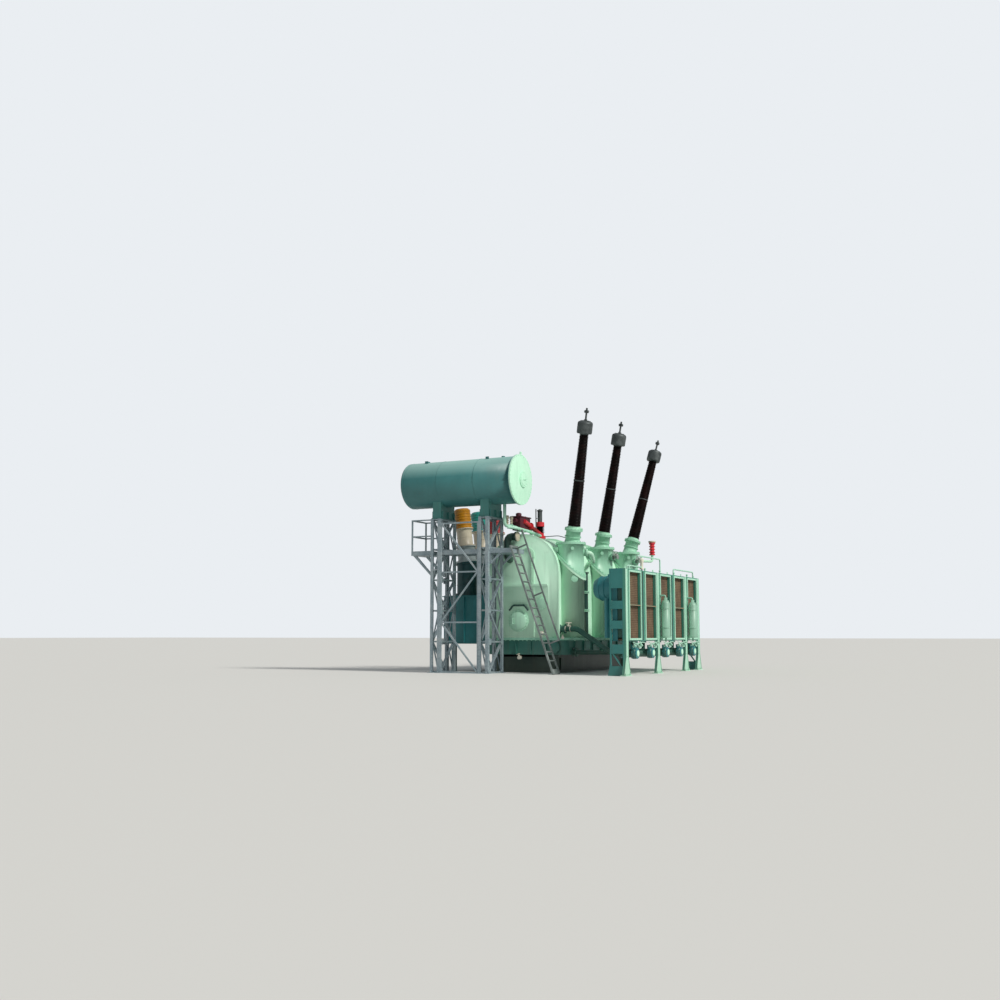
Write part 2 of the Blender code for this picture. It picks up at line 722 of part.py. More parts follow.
# Round turret on the box and the leaning bushing on it: skirt, housing and phase head.
def build_lv_terminal(number, head_paint):
    place = Vector((LV_FIRST_X + number * LV_PITCH, LV_Y, LV_BOX_Z[1] + GAP))
    slope = -tan(LV_LEAN)
    r = LV_TURRET_RADIUS
    lip = r + LV_FLANGE_LIP
    top = LV_TURRET_HEIGHT
    steps = [(lip, 0.0, 0.0), (lip, LV_FLANGE, 0.0), (r, LV_FLANGE, 0.0), (r, top - LV_FLANGE, slope)]
    steps += [(lip, top - LV_FLANGE, slope), (lip, top, slope)]
    rings = [slope_ring((0.0, 0.0), radius, height, rise, ROUND_SIDES) for radius, height, rise in steps]
    turret = loft(f"lv_turret_{number + 1}", rings, DARK_GREEN, 30.0)
    turret.location = place
    skirt = LV_SKIRT_RADIUS
    housing = LV_HOUSING_RADIUS
    head = LV_HEAD_RADIUS
    rim = LV_FLANGE_LIP
    z1 = LV_SKIRT_HEIGHT
    z2 = z1 + LV_HOUSING_HEIGHT
    z3 = z2 + LV_HEAD_HEIGHT
    profile = [(lip, 0.0), (lip, LV_FLANGE), (skirt, LV_FLANGE), (skirt, z1), (skirt + rim, z1)]
    profile += [(skirt + rim, z1 + LV_FLANGE), (housing, z1 + LV_FLANGE), (housing, z2), (head + rim, z2)]
    profile += [(head + rim, z2 + LV_FLANGE), (head, z2 + LV_FLANGE), (head, z3 - rim), (head - rim, z3)]
    bushing = turned(f"lv_bushing_{number + 1}", profile, ROUND_SIDES, head_paint)
    bushing.rotation_euler = (-LV_LEAN, 0, 0)
    bushing.location = place + Vector((0, 0, top)) + Vector((0, sin(LV_LEAN), cos(LV_LEAN))) * GAP


# Conservator: a drum domed at the far end, with a flanged and dished disc and a hatch at the near end.
def build_conservator():
    t = END_DISC_THICKNESS
    length = CONSERVATOR_Y[1] - CONSERVATOR_Y[0] - t - GAP
    r = CONSERVATOR_RADIUS
    profile = [(r, 0.0), (r, length - FAR_DOME)]
    for k in range(1, FAR_DOME_STEPS + 1):
        angle = pi / 2 * k / (FAR_DOME_STEPS + 1)
        profile.append((r * (1 + cos(angle)) / 2, length - FAR_DOME * (1 - sin(angle))))
    shell = turned("conservator_shell", profile, CONSERVATOR_SIDES, GREEN)
    shell.rotation_euler = (-pi / 2, 0, 0)
    shell.location = (CONSERVATOR_X, CONSERVATOR_Y[0] + t + GAP, CONSERVATOR_Z)
    rim = r + END_DISC_LIP
    dish = [(END_DISH_FLAT, -END_DISH), (r, 0.0), (rim, 0.0), (rim, t)]
    disc = turned("conservator_end_near", dish, CONSERVATOR_SIDES, GREEN)
    disc.rotation_euler = (-pi / 2, 0, 0)
    disc.location = (CONSERVATOR_X, CONSERVATOR_Y[0], CONSERVATOR_Z)
    plate = [(HATCH_RADIUS, 0.0), (HATCH_RADIUS, HATCH_THICKNESS)]
    hatch = turned("conservator_hatch", plate, ROUND_SIDES, GREEN)
    hatch.rotation_euler = (pi / 2, 0, 0)
    hatch.location = (CONSERVATOR_X, CONSERVATOR_Y[0] - END_DISH - GAP, CONSERVATOR_Z)


def build_saddle(name, y_low):
    """A trestle whose top follows the facets of the drum."""
    radius = CONSERVATOR_RADIUS + GAP
    half = SADDLE_LENGTH / 2
    low = TOWER_HEIGHT + GAP - CONSERVATOR_Z
    outline = [(-half, low), (half, low), (half, low + SADDLE_PLATE)]
    for k in range(-SADDLE_STEPS, SADDLE_STEPS + 1):
        angle = -pi / 2 - 2 * pi * k / CONSERVATOR_SIDES
        outline.append((radius * cos(angle), radius * sin(angle)))
    outline.append((-half, low + SADDLE_PLATE))
    plate = frame(name, outline, [], SADDLE_WIDTH, DARK_GREEN)
    plate.rotation_euler = (pi / 2, 0, 0)
    plate.location = (CONSERVATOR_X, y_low + SADDLE_WIDTH, CONSERVATOR_Z)


def bay_windows(x0, x1, y0, y1, bar, rising):
    """Two triangles left beside a diagonal bar."""
    width = x1 - x0
    height = y1 - y0
    slant = sqrt(width**2 + height**2)
    up = bar / 2 * slant / width
    across = bar / 2 * slant / height
    if rising:
        return [
            [(x0, y0 + up), (x1 - across, y1), (x0, y1)],
            [(x0 + across, y0), (x1, y0), (x1, y1 - up)],
        ]
    return [
        [(x0, y0), (x1 - across, y0), (x0, y1 - up)],
        [(x1, y0 + up), (x1, y1), (x0 + across, y1)],
    ]


def lattice(name, width, height, chord, bays, bar, depth, material, first_rising=True, foot=0.0):
    """A flat ladder of bays with alternating diagonals."""
    outline = rectangle(0.0, width, 0.0, height)
    windows = []
    pitch = (height - foot) / bays
    for k in range(bays):
        y0 = foot + k * pitch + (bar / 2 if k else bar)
        y1 = foot + (k + 1) * pitch - (bar / 2 if k < bays - 1 else bar)
        rising = (k % 2 == 0) == first_rising
        windows += bay_windows(chord, width - chord, y0, y1, bar, rising)
    return frame(name, outline, windows, depth, material)


# Lattice tower: two wide faces tied by laced narrow faces.
def build_tower(name, y_low):
    wide = (TOWER_LENGTH, TOWER_HEIGHT, LEG, TOWER_BAYS, LACING, LEG_DEPTH, STEEL)
    front = lattice(name, *wide)
    front.rotation_euler = (pi / 2, 0, 0)
    front.location = (TOWER_X, y_low + LEG_DEPTH, 0.0)
    rear = lattice(f"{name}_rear_face", *wide, False)
    rear.rotation_euler = (pi / 2, 0, 0)
    rear.location = (TOWER_X, y_low + TOWER_DEPTH, 0.0)
    combine(front, rear, "UNION")
    inner = LEG_DEPTH - BITE
    inset = SIDE_LACING_INSET
    far = TOWER_LENGTH - inset - SIDE_LACING_DEPTH
    narrow = (TOWER_DEPTH - 2 * inner, TOWER_HEIGHT - BITE, BITE, TOWER_BAYS)
    for number, x in enumerate((TOWER_X + inset, TOWER_X + far)):
        side = lattice(f"{name}_lacing_{number + 1}", *narrow, SIDE_LACING, SIDE_LACING_DEPTH, STEEL)
        side.rotation_euler = (pi / 2, 0, pi / 2)
        side.location = (x, y_low + inner, BITE / 2)
        combine(front, side, "UNION")


# Light bracing between the towers.
def build_tower_bracing():
    y0 = TOWER_Y[0] + TOWER_DEPTH + GAP
    y1 = TOWER_Y[1] - GAP
    height = TOWER_HEIGHT - BRACE_TOP_DROP
    brace = lattice("tower_bracing", y1 - y0, height, BRACE, BRACE_BAYS, BRACE, BRACE, STEEL)
    brace.rotation_euler = (pi / 2, 0, pi / 2)
    brace.location = (TOWER_X, y0, 0.0)


def knee_frame(name, reach, drop, bar):
    """Triangular bracket: a wall bar, a deck bar and a strut."""
    outline = [(0, 0), (bar, 0), (reach, drop - bar), (reach, drop), (0, drop)]
    inset = bar * KNEE_INSET
    window = [(bar, inset), (reach - inset * KNEE_STRUT, drop - bar), (bar, drop - bar)]
    return frame(name, outline, [window], bar, STEEL)


# Walkway between and beside the towers.
def build_deck():
    x0 = TOWER_X + DECK_INSET + BRACE
    x1 = TOWER_X + TOWER_LENGTH - DECK_INSET
    low = DECK_Z - DECK_THICKNESS
    right_edge = TOWER_Y[0] - GAP
    left_edge = TOWER_Y[1] + TOWER_DEPTH + GAP
    middle = (TOWER_Y[0] + TOWER_DEPTH + GAP, TOWER_Y[1] - GAP)
    box("deck_middle", (x0, middle[0], low), (x1, middle[1], DECK_Z), STEEL)
    right = box("deck_right", (x0, right_edge - DECK_RIGHT_REACH, low), (x1, right_edge, DECK_Z), STEEL)
    left = box("deck_left", (x0, left_edge, low), (x1, left_edge + DECK_LEFT_REACH, DECK_Z), STEEL)
    for number, x in enumerate((x0 + BITE, x1 - KNEE_BAR - BITE)):
        knee = knee_frame(f"left_knee_{number + 1}", DECK_LEFT_REACH - BITE, KNEE_DROP, KNEE_BAR)
        knee.rotation_euler = (pi / 2, 0, pi / 2)
        knee.location = (x, left_edge, DECK_Z - BITE - KNEE_DROP)
        combine(left, knee, "UNION")
        reach, drop, bar = SMALL_KNEE
        small = knee_frame(f"right_knee_{number + 1}", reach, drop, bar)
        small.rotation_euler = (pi / 2, 0, -pi / 2)
        small.location = (x + bar, right_edge, DECK_Z - BITE - drop)
        combine(right, small, "UNION")


def rail_panel(name, width):
    """Posts with a top and a middle rail."""
    t = RAIL_TUBE
    top = RAIL_HEIGHT - t
    middle = RAIL_HEIGHT / 2
    outline = [(0, 0), (t, 0), (t, middle - t), (width - t, middle - t), (width - t, 0), (width, 0)]
    outline += [(width, RAIL_HEIGHT), (0, RAIL_HEIGHT)]
    return frame(name, outline, [rectangle(t, width - t, middle, top)], t, STEEL)


def build_handrail():
    x0 = TOWER_X + DECK_INSET + BRACE
    x1 = TOWER_X + TOWER_LENGTH - DECK_INSET
    y1 = TOWER_Y[1] + TOWER_DEPTH + GAP + DECK_LEFT_REACH
    end = rail_panel("deck_handrail", x1 - x0)
    end.rotation_euler = (pi / 2, 0, 0)
    end.location = (x0, y1, DECK_Z + GAP)
    reach = DECK_LEFT_REACH - BITE
    for number, x in enumerate((x0 + GAP, x1 - RAIL_TUBE + GAP)):
        side = rail_panel(f"side_rail_{number + 1}", reach)
        side.rotation_euler = (pi / 2, 0, pi / 2)
        side.location = (x, y1 - reach - GAP, DECK_Z + GAP)
        side.scale = (1, 1, RAIL_SLIM)
        combine(end, side, "UNION")


# Ladder against the edge of the right deck, with its long handrail.
def build_ladder():
    edge = Vector((LADDER_X, TOWER_Y[0] - GAP - DECK_RIGHT_REACH, DECK_Z))
    along = Vector((0, cos(LADDER_ANGLE), sin(LADDER_ANGLE)))
    outward = Vector((0, -sin(LADDER_ANGLE), cos(LADDER_ANGLE)))
    run = edge.z / along.z
    foot = edge - along * run + outward * GAP
    foot.z = 0.0
    length = run + LADDER_RISE
    windows = []
    rungs = int(length / RUNG_PITCH)
    for k in range(rungs):
        y0 = (k + 0.5) * RUNG_PITCH + RUNG / 2
        y1 = min((k + 1.5) * RUNG_PITCH - RUNG / 2, length - RUNG)
        windows.append(rectangle(LADDER_STILE, LADDER_WIDTH - LADDER_STILE, y0, y1))
    ladder = frame("ladder", rectangle(0, LADDER_WIDTH, 0, length), windows, LADDER_DEPTH, STEEL)
    ladder.rotation_euler = (LADDER_ANGLE, 0, 0)
    ladder.location = foot
    t = RAIL_TUBE
    low = HANDRAIL_START
    high = length + HANDRAIL_RISE
    outline = [(low, HANDRAIL_OFFSET - t), (low, 0), (low + t, 0), (low + t, HANDRAIL_OFFSET - t)]
    for k in range(1, HANDRAIL_SPANS + 1):
        x = low + k * (length - low - t) / HANDRAIL_SPANS
        outline += [(x - t, HANDRAIL_OFFSET - t), (x - t, 0), (x, 0), (x, HANDRAIL_OFFSET - t)]
    outline += [(high, HANDRAIL_OFFSET - t), (high, HANDRAIL_OFFSET), (low, HANDRAIL_OFFSET)]
    rail = frame("ladder_handrail", outline, [], t, STEEL)
    shift = foot + outward * (LADDER_DEPTH + GAP) + Vector((LADDER_WIDTH - LADDER_STILE, 0, 0))
    place = Matrix.Identity(4)
    for row in range(3):
        place[row][0] = along[row]
        place[row][1] = outward[row]
        place[row][2] = 1.0 if row == 0 else 0.0
        place[row][3] = shift[row]
    rail.matrix_world = place


def cooler_x(number):
    return COOLER_START_X + number * COOLER_PITCH


def column_marks():
    """Centre lines of the front columns: both ends and after the second and fourth cooler."""
    first = cooler_x(0) - COOLER_SPACE / 2
    return [first, first + 2 * COOLER_PITCH, first + 4 * COOLER_PITCH, first + 5 * COOLER_PITCH]


# Front frame of the cooler bank: one welded frame on flared feet.
def build_bank_frame():
    half = COLUMN_WIDTH / 2
    flare = FOOT_WIDTH / 2
    marks = column_marks()
    outline = []
    for mark in marks:
        left = mark - half
        right = mark + half
        outline += [(left, BANK_BOTTOM)] if mark != marks[0] else []
        outline += [(left, FOOT_HEIGHT), (mark - flare, FOOT_PLATE), (mark - flare, 0.0)]
        outline += [(mark + flare, 0.0), (mark + flare, FOOT_PLATE), (right, FOOT_HEIGHT)]
        outline += [(right, BANK_BOTTOM)] if mark != marks[-1] else []
    outline += [(marks[-1] + half, BANK_TOP), (marks[0] - half, BANK_TOP)]
    windows = []
    middle = (BANK_BOTTOM + BANK_TOP) / 2
    for number in range(COOLER_COUNT):
        x0 = cooler_x(number) + FRAME_SIDE_BAR
        x1 = cooler_x(number) + COOLER_WIDTH - FRAME_SIDE_BAR
        windows.append(rectangle(x0, x1, BANK_BOTTOM + FRAME_BAR, middle - MID_BAR / 2))
        windows.append(rectangle(x0, x1, middle + MID_BAR / 2, BANK_TOP - FRAME_BAR))
    front = frame("bank_frame", outline, windows, BANK_FRAME_DEPTH, GREEN)
    front.rotation_euler = (pi / 2, 0, 0)
    front.location = (0, BANK_FRONT_Y + BANK_FRAME_DEPTH, 0)


# End frame of the bank: a plate with four openings on a base that flares to the rear.
def build_end_frame(name, x_low):
    low_y = BANK_FRONT_Y + BANK_FRAME_DEPTH + GAP
    width = END_FRAME_REAR_Y - low_y
    flare, height = END_FRAME_FOOT
    outline = [(0, 0), (width + flare, 0), (width + flare, FOOT_PLATE), (width, height)]
    outline += [(width, BANK_TOP), (0, BANK_TOP)]
    windows = []
    for low, high in zip(END_FRAME_LEVELS[0::2], END_FRAME_LEVELS[1::2]):
        windows.append(rectangle(END_FRAME_BAR, width - END_FRAME_BAR, low, high))
    side = frame(name, outline, windows, END_FRAME_THICKNESS, GREEN)
    side.rotation_euler = (pi / 2, 0, pi / 2)
    side.location = (x_low, low_y, 0)


# One cooler: finned core, casing with its round fan drum, and the collector pipe behind it.
def build_cooler(number):
    x0 = cooler_x(number)
    core_front = BANK_FRONT_Y + BANK_FRAME_DEPTH + GAP
    core_back = core_front + COOLER_DEPTH
    side, rise = CORE_INSET
    core_low = (x0 + side, core_front, BANK_BOTTOM + rise)
    core_high = (x0 + COOLER_WIDTH - side, core_back, BANK_TOP - rise)
    box(f"cooler_core_{number + 1}", core_low, core_high, CORE_BROWN)
    casing_low = (x0, core_back + GAP, BANK_BOTTOM)
    casing_back = core_back + PLENUM_DEPTH
    casing = box(f"cooler_casing_{number + 1}", casing_low, (x0 + COOLER_WIDTH, casing_back, BANK_TOP), GREEN)
    r = DRUM_RADIUS
    lip = r + DRUM_LIP
    profile = [(lip, -BITE), (lip, DRUM_RIM), (r, DRUM_RIM + DRUM_RIM_EASE)]
    profile += [(r, DRUM_REACH - DRUM_TAPER), (DRUM_MOUTH_RADIUS, DRUM_REACH)]
    drum = turned(f"cooler_drum_{number + 1}", profile, ROUND_SIDES, GREEN)
    drum.rotation_euler = (-pi / 2, 0, 0)
    drum.location = (x0 + COOLER_WIDTH / 2, casing_back, DRUM_Z)
    combine(casing, drum, "UNION")
    low, high = COLLECTOR_Z
    rod = [(COLLECTOR_RADIUS, low), (COLLECTOR_RADIUS, high)]
    pipe = turned(f"collector_{number + 1}", rod, COLLECTOR_SIDES, GREEN)
    pipe_y = casing_back + COLLECTOR_SPACE + COLLECTOR_RADIUS
    pipe.location = (x0 + COLLECTOR_X, pipe_y, 0)
    for level, z in enumerate((low + COLLECTOR_ARM_INSET, high - COLLECTOR_ARM_INSET)):
        length = pipe_y - casing_back + BITE
        rod = [(COLLECTOR_ARM, 0.0), (COLLECTOR_ARM, length)]
        arm = turned(f"collector_arm_{number + 1}_{level + 1}", rod, COLLECTOR_SIDES, GREEN)
        arm.rotation_euler = (-pi / 2, 0, 0)
        arm.location = (x0 + COLLECTOR_X, casing_back - BITE, z)
        combine(casing, arm, "UNION")
    combine(casing, pipe, "UNION")


# Oil filter on a bracket of the middle bar.
def build_filter(number, column):
    r = FILTER_RADIUS
    height = FILTER_Z[1] - FILTER_Z[0]
    lip = r + FILTER_LIP
    neck = height - FILTER_LIP
    profile = [(lip, 0.0), (lip, FILTER_RIM), (r, FILTER_RIM), (r, height - r), (FILTER_SHOULDER * r, neck)]
    profile += [(FILTER_OUTLET, neck), (FILTER_OUTLET, height + FILTER_OUTLET)]
    can = turned(f"filter_{number + 1}", profile, PIPE_SIDES, GREEN)
    x = column_marks()[column] + FILTER_OFFSET
    y = BANK_FRONT_Y - r - FILTER_SPACE
    can.location = (x, y, FILTER_Z[0])
    middle = (BANK_BOTTOM + BANK_TOP) / 2
    low = (x - FILTER_BRACKET / 2, y, middle - FILTER_BRACKET / 2)
    high = (x + FILTER_BRACKET / 2, BANK_FRONT_Y - GAP, middle + FILTER_BRACKET / 2)
    bracket = box(f"filter_bracket_{number + 1}", low, high, GREEN)
    combine(can, bracket, "UNION")


# Return header under the coolers with one pump per cooler.
def build_header():
    marks = column_marks()
    x0 = marks[0] + HEADER_INSET
    x1 = marks[-1] - HEADER_INSET
    middle = (x0 + x1) / 2
    run = [(HEADER_RADIUS, x0 - middle), (HEADER_RADIUS, x1 - middle)]
    header = turned("oil_header", run, SMALL_SIDES, DARK_GREEN)
    header.rotation_euler = (0, pi / 2, 0)
    header.location = (middle, HEADER_Y, HEADER_Z)
    r = PUMP_RADIUS
    body = PUMP_BODY * r
    collar, shoulder = PUMP_COLLAR
    for number in range(COOLER_COUNT):
        x = cooler_x(number) + COOLER_WIDTH / 2
        profile = [(r, 0.0), (r, collar), (body, shoulder), (body, PUMP_REACH + PUMP_TAIL)]
        pump = turned(f"pump_{number + 1}", profile, PIPE_SIDES, GREEN)
        pump.rotation_euler = (-pi / 2, 0, 0)
        pump.location = (x, HEADER_Y - PUMP_REACH, HEADER_Z)
        combine(header, pump, "UNION")
        rise = BANK_BOTTOM - GAP - HEADER_Z
        rod = [(RISER_RADIUS, 0.0), (RISER_RADIUS, rise)]
        riser = turned(f"riser_{number + 1}", rod, SMALL_SIDES, DARK_GREEN)
        riser_y = BANK_FRONT_Y + BANK_FRAME_DEPTH + COOLER_DEPTH - RISER_INSET
        riser.location = (x, riser_y, HEADER_Z)
        combine(header, riser, "UNION")
    for label, x in (("upper", UPPER_PIPE_X), ("lower", LOWER_PIPE_X)):
        rod = [(STUB_RADIUS, 0.0), (STUB_RADIUS, STUB_REACH)]
        stub = turned(f"header_stub_{label}", rod, PIPE_SIDES, DARK_GREEN)
        stub.rotation_euler = (-pi / 2, 0, 0)
        stub.location = (x, HEADER_Y, HEADER_Z)
        combine(header, stub, "UNION")


# Two oil pipes between the tank and the header.
def build_oil_pipes(trim):
    end_y = HEADER_Y + STUB_REACH + GAP
    flange = STUB_RADIUS + PIPE_FLANGE_LIP
    thick = PIPE_FLANGE
    x0, z0 = UPPER_PIPE_START
    first, last = UPPER_PIPE_RUNS
    ease = UPPER_PIPE_EASE
    bend = UPPER_PIPE_BEND
    stations = [
        ((x0, -TANK_RADIUS + BITE, z0), None),
        ((x0, -TANK_RADIUS - first, z0), None),
        ((x0 - ease, -TANK_RADIUS - first - bend, z0 - ease), None),
        ((UPPER_PIPE_X + ease, -TANK_RADIUS - last, HEADER_Z + ease), None),
        ((UPPER_PIPE_X, -TANK_RADIUS - last - bend, HEADER_Z), None),
        ((UPPER_PIPE_X, end_y + thick + GAP, HEADER_Z), None),
        ((UPPER_PIPE_X, end_y + thick, HEADER_Z), flange),
        ((UPPER_PIPE_X, end_y, HEADER_Z), flange),
    ]
    pipe = swept("oil_pipe_upper", stations, UPPER_PIPE_RADIUS, PIPE_SIDES, DARK_GREEN)
    combine(pipe, trim, "DIFFERENCE")
    start_y = -LOWER_TANK_FRONT - GAP
    stations = [
        ((LOWER_PIPE_X, start_y, HEADER_Z), STUB_RADIUS),
        ((LOWER_PIPE_X, start_y - thick, HEADER_Z), STUB_RADIUS),
        ((LOWER_PIPE_X, start_y - thick - GAP, HEADER_Z), None),
        ((LOWER_PIPE_X, end_y + thick + GAP, HEADER_Z), None),
        ((LOWER_PIPE_X, end_y + thick, HEADER_Z), flange),
        ((LOWER_PIPE_X, end_y, HEADER_Z), flange),
    ]
    swept("oil_pipe_lower", stations, LOWER_PIPE_RADIUS, PIPE_SIDES, DARK_GREEN)


def drum_clearance(name):
    """The conservator drum grown by the clearance."""
    radius = CONSERVATOR_RADIUS + GAP
    span = CONSERVATOR_Y[1] - CONSERVATOR_Y[0]
    drum = turned(name, [(radius, 0.0), (radius, span)], CONSERVATOR_SIDES, GREEN)
    drum.rotation_euler = (-pi / 2, 0, 0)
    drum.location = (CONSERVATOR_X, CONSERVATOR_Y[0], CONSERVATOR_Z)
    return drum


# Oil pipe from the conservator to the tank roof.
def build_top_pipe(trim):
    y = TOP_PIPE_Y
    bend = TOP_PIPE_BEND
    ease = TOP_PIPE_EASE
    start = CONSERVATOR_Z - CONSERVATOR_RADIUS + TOP_PIPE_BEND
    stations = [
        ((CONSERVATOR_X, y, start), None),
        ((CONSERVATOR_X, y, TOP_PIPE_Z + bend), None),
        ((CONSERVATOR_X + ease, y, TOP_PIPE_Z + ease), None),
        ((CONSERVATOR_X + bend, y, TOP_PIPE_Z), None),
        ((TOP_PIPE_END_X - bend, y, TOP_PIPE_Z), None),
        ((TOP_PIPE_END_X - ease, y, TOP_PIPE_Z - ease), None),
        ((TOP_PIPE_END_X, y, TOP_PIPE_Z - bend), None),
        ((TOP_PIPE_END_X, y, TOP_PIPE_Z - TOP_PIPE_RISE - BITE), None),
    ]
    pipe = swept("oil_pipe_top", stations, TOP_PIPE_RADIUS, PIPE_SIDES, GREEN)
    high_x = TOP_PIPE_END_X - RELAY_SPACE
    below, above = RELAY_REACH
    relay_low = (high_x - RELAY_LENGTH, y - RELAY_WIDTH / 2, TOP_PIPE_Z - below)
    relay_high = (high_x, y + RELAY_WIDTH / 2, TOP_PIPE_Z + above)
    combine(pipe, box("gas_relay", relay_low, relay_high, GREEN), "UNION")
    combine(pipe, trim, "DIFFERENCE")
    combine(pipe, drum_clearance("drum_trim"), "DIFFERENCE")


def bend_points(corner, start, end, radius):
    """Points of a round bend about a corner, between two unit directions that lead away from it."""
    centre = corner + (start + end) * radius
    points = []
    for k in range(VENT_BEND_STEPS + 1):
        angle = pi / 2 * k / VENT_BEND_STEPS
        points.append(centre - end * radius * cos(angle) - start * radius * sin(angle))
    return points


# Pressure relief vent: out of the near end wall, up, and level towards the front.
def build_relief_vent():
    face = -TANK_HALF_LENGTH - END_BULGE - GAP
    x = face - VENT_OUTREACH
    low, high = VENT_Z
    mouth = VENT_MOUTH_Y + VENT_MOUTH
    points = [Vector((face, VENT_Y, low))]
    points += bend_points(Vector((x, VENT_Y, low)), Vector((1, 0, 0)), Vector((0, 0, 1)), VENT_BEND)
    points += bend_points(Vector((x, VENT_Y, high)), Vector((0, 0, -1)), Vector((0, -1, 0)), VENT_BEND)
    points.append(Vector((x, mouth + GAP, high)))
    stations = [(point, None) for point in points]
    stations += [((x, mouth, high), VENT_MOUTH_RADIUS), ((x, VENT_MOUTH_Y, high), VENT_MOUTH_RADIUS)]
    swept("relief_vent", stations, VENT_RADIUS, PIPE_SIDES, DARK_GREEN)


# Neutral bushing on the roof: base flange, two sheds, collar and post.
def build_neutral_bushing(trim):
    profile = [(NEUTRAL_STEPS[0][0], -NEUTRAL_SINK), *NEUTRAL_STEPS]
    post = turned("neutral_bushing", profile, SMALL_SIDES, RED)
    post.location = (NEUTRAL_X, 0.0, ROOF_Z)
    combine(post, trim, "DIFFERENCE")


# Small neutral bushing on a bent arm that leaves one facet of the third turret.
def build_far_neutral():
    out = Vector((cos(ARM_TURN), sin(ARM_TURN), 0.0))
    wall = TURRET_RADIUS * cos(pi / TURRET_SIDES) + GAP
    root = Vector((PHASE_PITCH, TURRET_Y, ARM_Z)) + out * wall
    corner = root + out * ARM_REACH
    up = Vector((0, 0, 1))
    points = [root, *bend_points(corner, -out, up, ARM_BEND), corner + up * ARM_RISE]
    stations = [(point, None) for point in points]
    arm = swept("neutral_bushing_far", stations, ARM_RADIUS, SMALL_SIDES, RED)
    head = turned("neutral_head_far", HEAD_STEPS, SMALL_SIDES, RED)
    head.location = corner + up * (ARM_RISE - BITE)
    combine(arm, head, "UNION")


def build_all():
    build_skid()
    build_lower_tank()
    build_bell_flange()
    build_main_tank()
    build_manhole()
    for number in range(3):
        build_turret_lower(number, tank_clearance(f"lower_trim_{number + 1}"))
        build_turret_upper(number, tank_clearance(f"upper_trim_{number + 1}"))
        build_hv_bushing(number)
    build_lv_box()
    for number, head_paint in enumerate((AMBER, PHASE_GREEN, RED)):
        build_lv_terminal(number, head_paint)
    build_conservator()
    build_saddle("saddle_right", TOWER_Y[0] + (TOWER_DEPTH - SADDLE_WIDTH) / 2)
    build_saddle("saddle_left", TOWER_Y[1] + (TOWER_DEPTH - SADDLE_WIDTH) / 2)
    build_tower("tower_right", TOWER_Y[0])
    build_tower("tower_left", TOWER_Y[1])
    build_tower_bracing()
    build_deck()
    build_handrail()
    build_ladder()
    build_bank_frame()
    marks = column_marks()
    build_end_frame("bank_end_near", marks[0] - COLUMN_WIDTH / 2)
    build_end_frame("bank_end_far", marks[-1] + COLUMN_WIDTH / 2 - END_FRAME_THICKNESS)
    for number in range(COOLER_COUNT):
        build_cooler(number)
    build_filter(0, 1)
    build_filter(1, 2)
    build_header()
    build_oil_pipes(tank_clearance("pipe_trim"))
    build_top_pipe(tank_clearance("top_pipe_trim"))
    build_relief_vent()
    build_neutral_bushing(tank_clearance("neutral_trim"))
    build_far_neutral()


build_all()
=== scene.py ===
from math import cos, pi, radians, sin

import bmesh
import bpy
from mathutils import Euler, Matrix, Vector


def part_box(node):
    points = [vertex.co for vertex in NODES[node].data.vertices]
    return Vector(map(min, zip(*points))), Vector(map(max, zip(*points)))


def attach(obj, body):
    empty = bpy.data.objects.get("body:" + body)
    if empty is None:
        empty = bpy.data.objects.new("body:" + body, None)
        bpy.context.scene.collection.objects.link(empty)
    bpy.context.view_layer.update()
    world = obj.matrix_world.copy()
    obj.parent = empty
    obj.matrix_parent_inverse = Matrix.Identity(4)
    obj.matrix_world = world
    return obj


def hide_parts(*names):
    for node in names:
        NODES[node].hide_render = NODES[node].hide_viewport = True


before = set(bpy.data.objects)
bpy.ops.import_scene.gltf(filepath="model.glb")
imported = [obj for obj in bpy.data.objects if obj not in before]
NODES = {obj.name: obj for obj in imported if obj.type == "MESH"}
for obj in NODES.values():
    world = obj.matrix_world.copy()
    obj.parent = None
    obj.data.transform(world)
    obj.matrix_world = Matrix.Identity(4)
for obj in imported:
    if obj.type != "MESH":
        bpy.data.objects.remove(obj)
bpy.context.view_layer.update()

# Studio. A smooth pale floor slab, an even pale surround and one wide soft lamp, low on the
# high-voltage side, where the sun stands in the open. The camera is at eye height, 38 m away.
FLOOR_HALF = 400.0
FLOOR_TONE = "#DDDDDA"
SURROUND_TONE = "#EAEEF2"
SURROUND_LEVEL = 0.40
KEY_TONE = "#FFFBF4"
KEY_LEVEL = 3.0
KEY_SPREAD = radians(12)
KEY_TURN = (radians(50), 0.0, radians(-12))
CAMERA_PLACE = (-38.5, -17.0, 1.25)
CAMERA_TURN = (radians(96.695), 0.0, radians(-63.0))
LENS_MM = 41.4
FAR_CLIP = 2000.0
SHARP_EDGE = radians(35)


def linear(code):
    """sRGB hex to linear colour."""
    channels = []
    for start in (1, 3, 5):
        value = int(code[start:start + 2], 16) / 255
        channels.append(value / 12.92 if value <= 0.04045 else ((value + 0.055) / 1.055) ** 2.4)
    return (*channels, 1.0)


def add(tree, kind, settings=None, **links):
    """Add a node, set its properties and sockets, and link sockets given as (node, output)."""
    node = tree.nodes.new(kind)
    for key, value in (settings or {}).items():
        if isinstance(key, int) or key in node.inputs:
            node.inputs[key].default_value = value
        else:
            setattr(node, key, value)
    for key, (source, output) in links.items():
        slot = int(key[1:]) if key[0] == "i" and key[1:].isdigit() else key.replace("_", " ")
        tree.links.new(source.outputs[output], node.inputs[slot])
    return node


def new_material(name):
    material = bpy.data.materials.new(name)
    material.use_nodes = True
    material.node_tree.nodes.clear()
    return material, material.node_tree


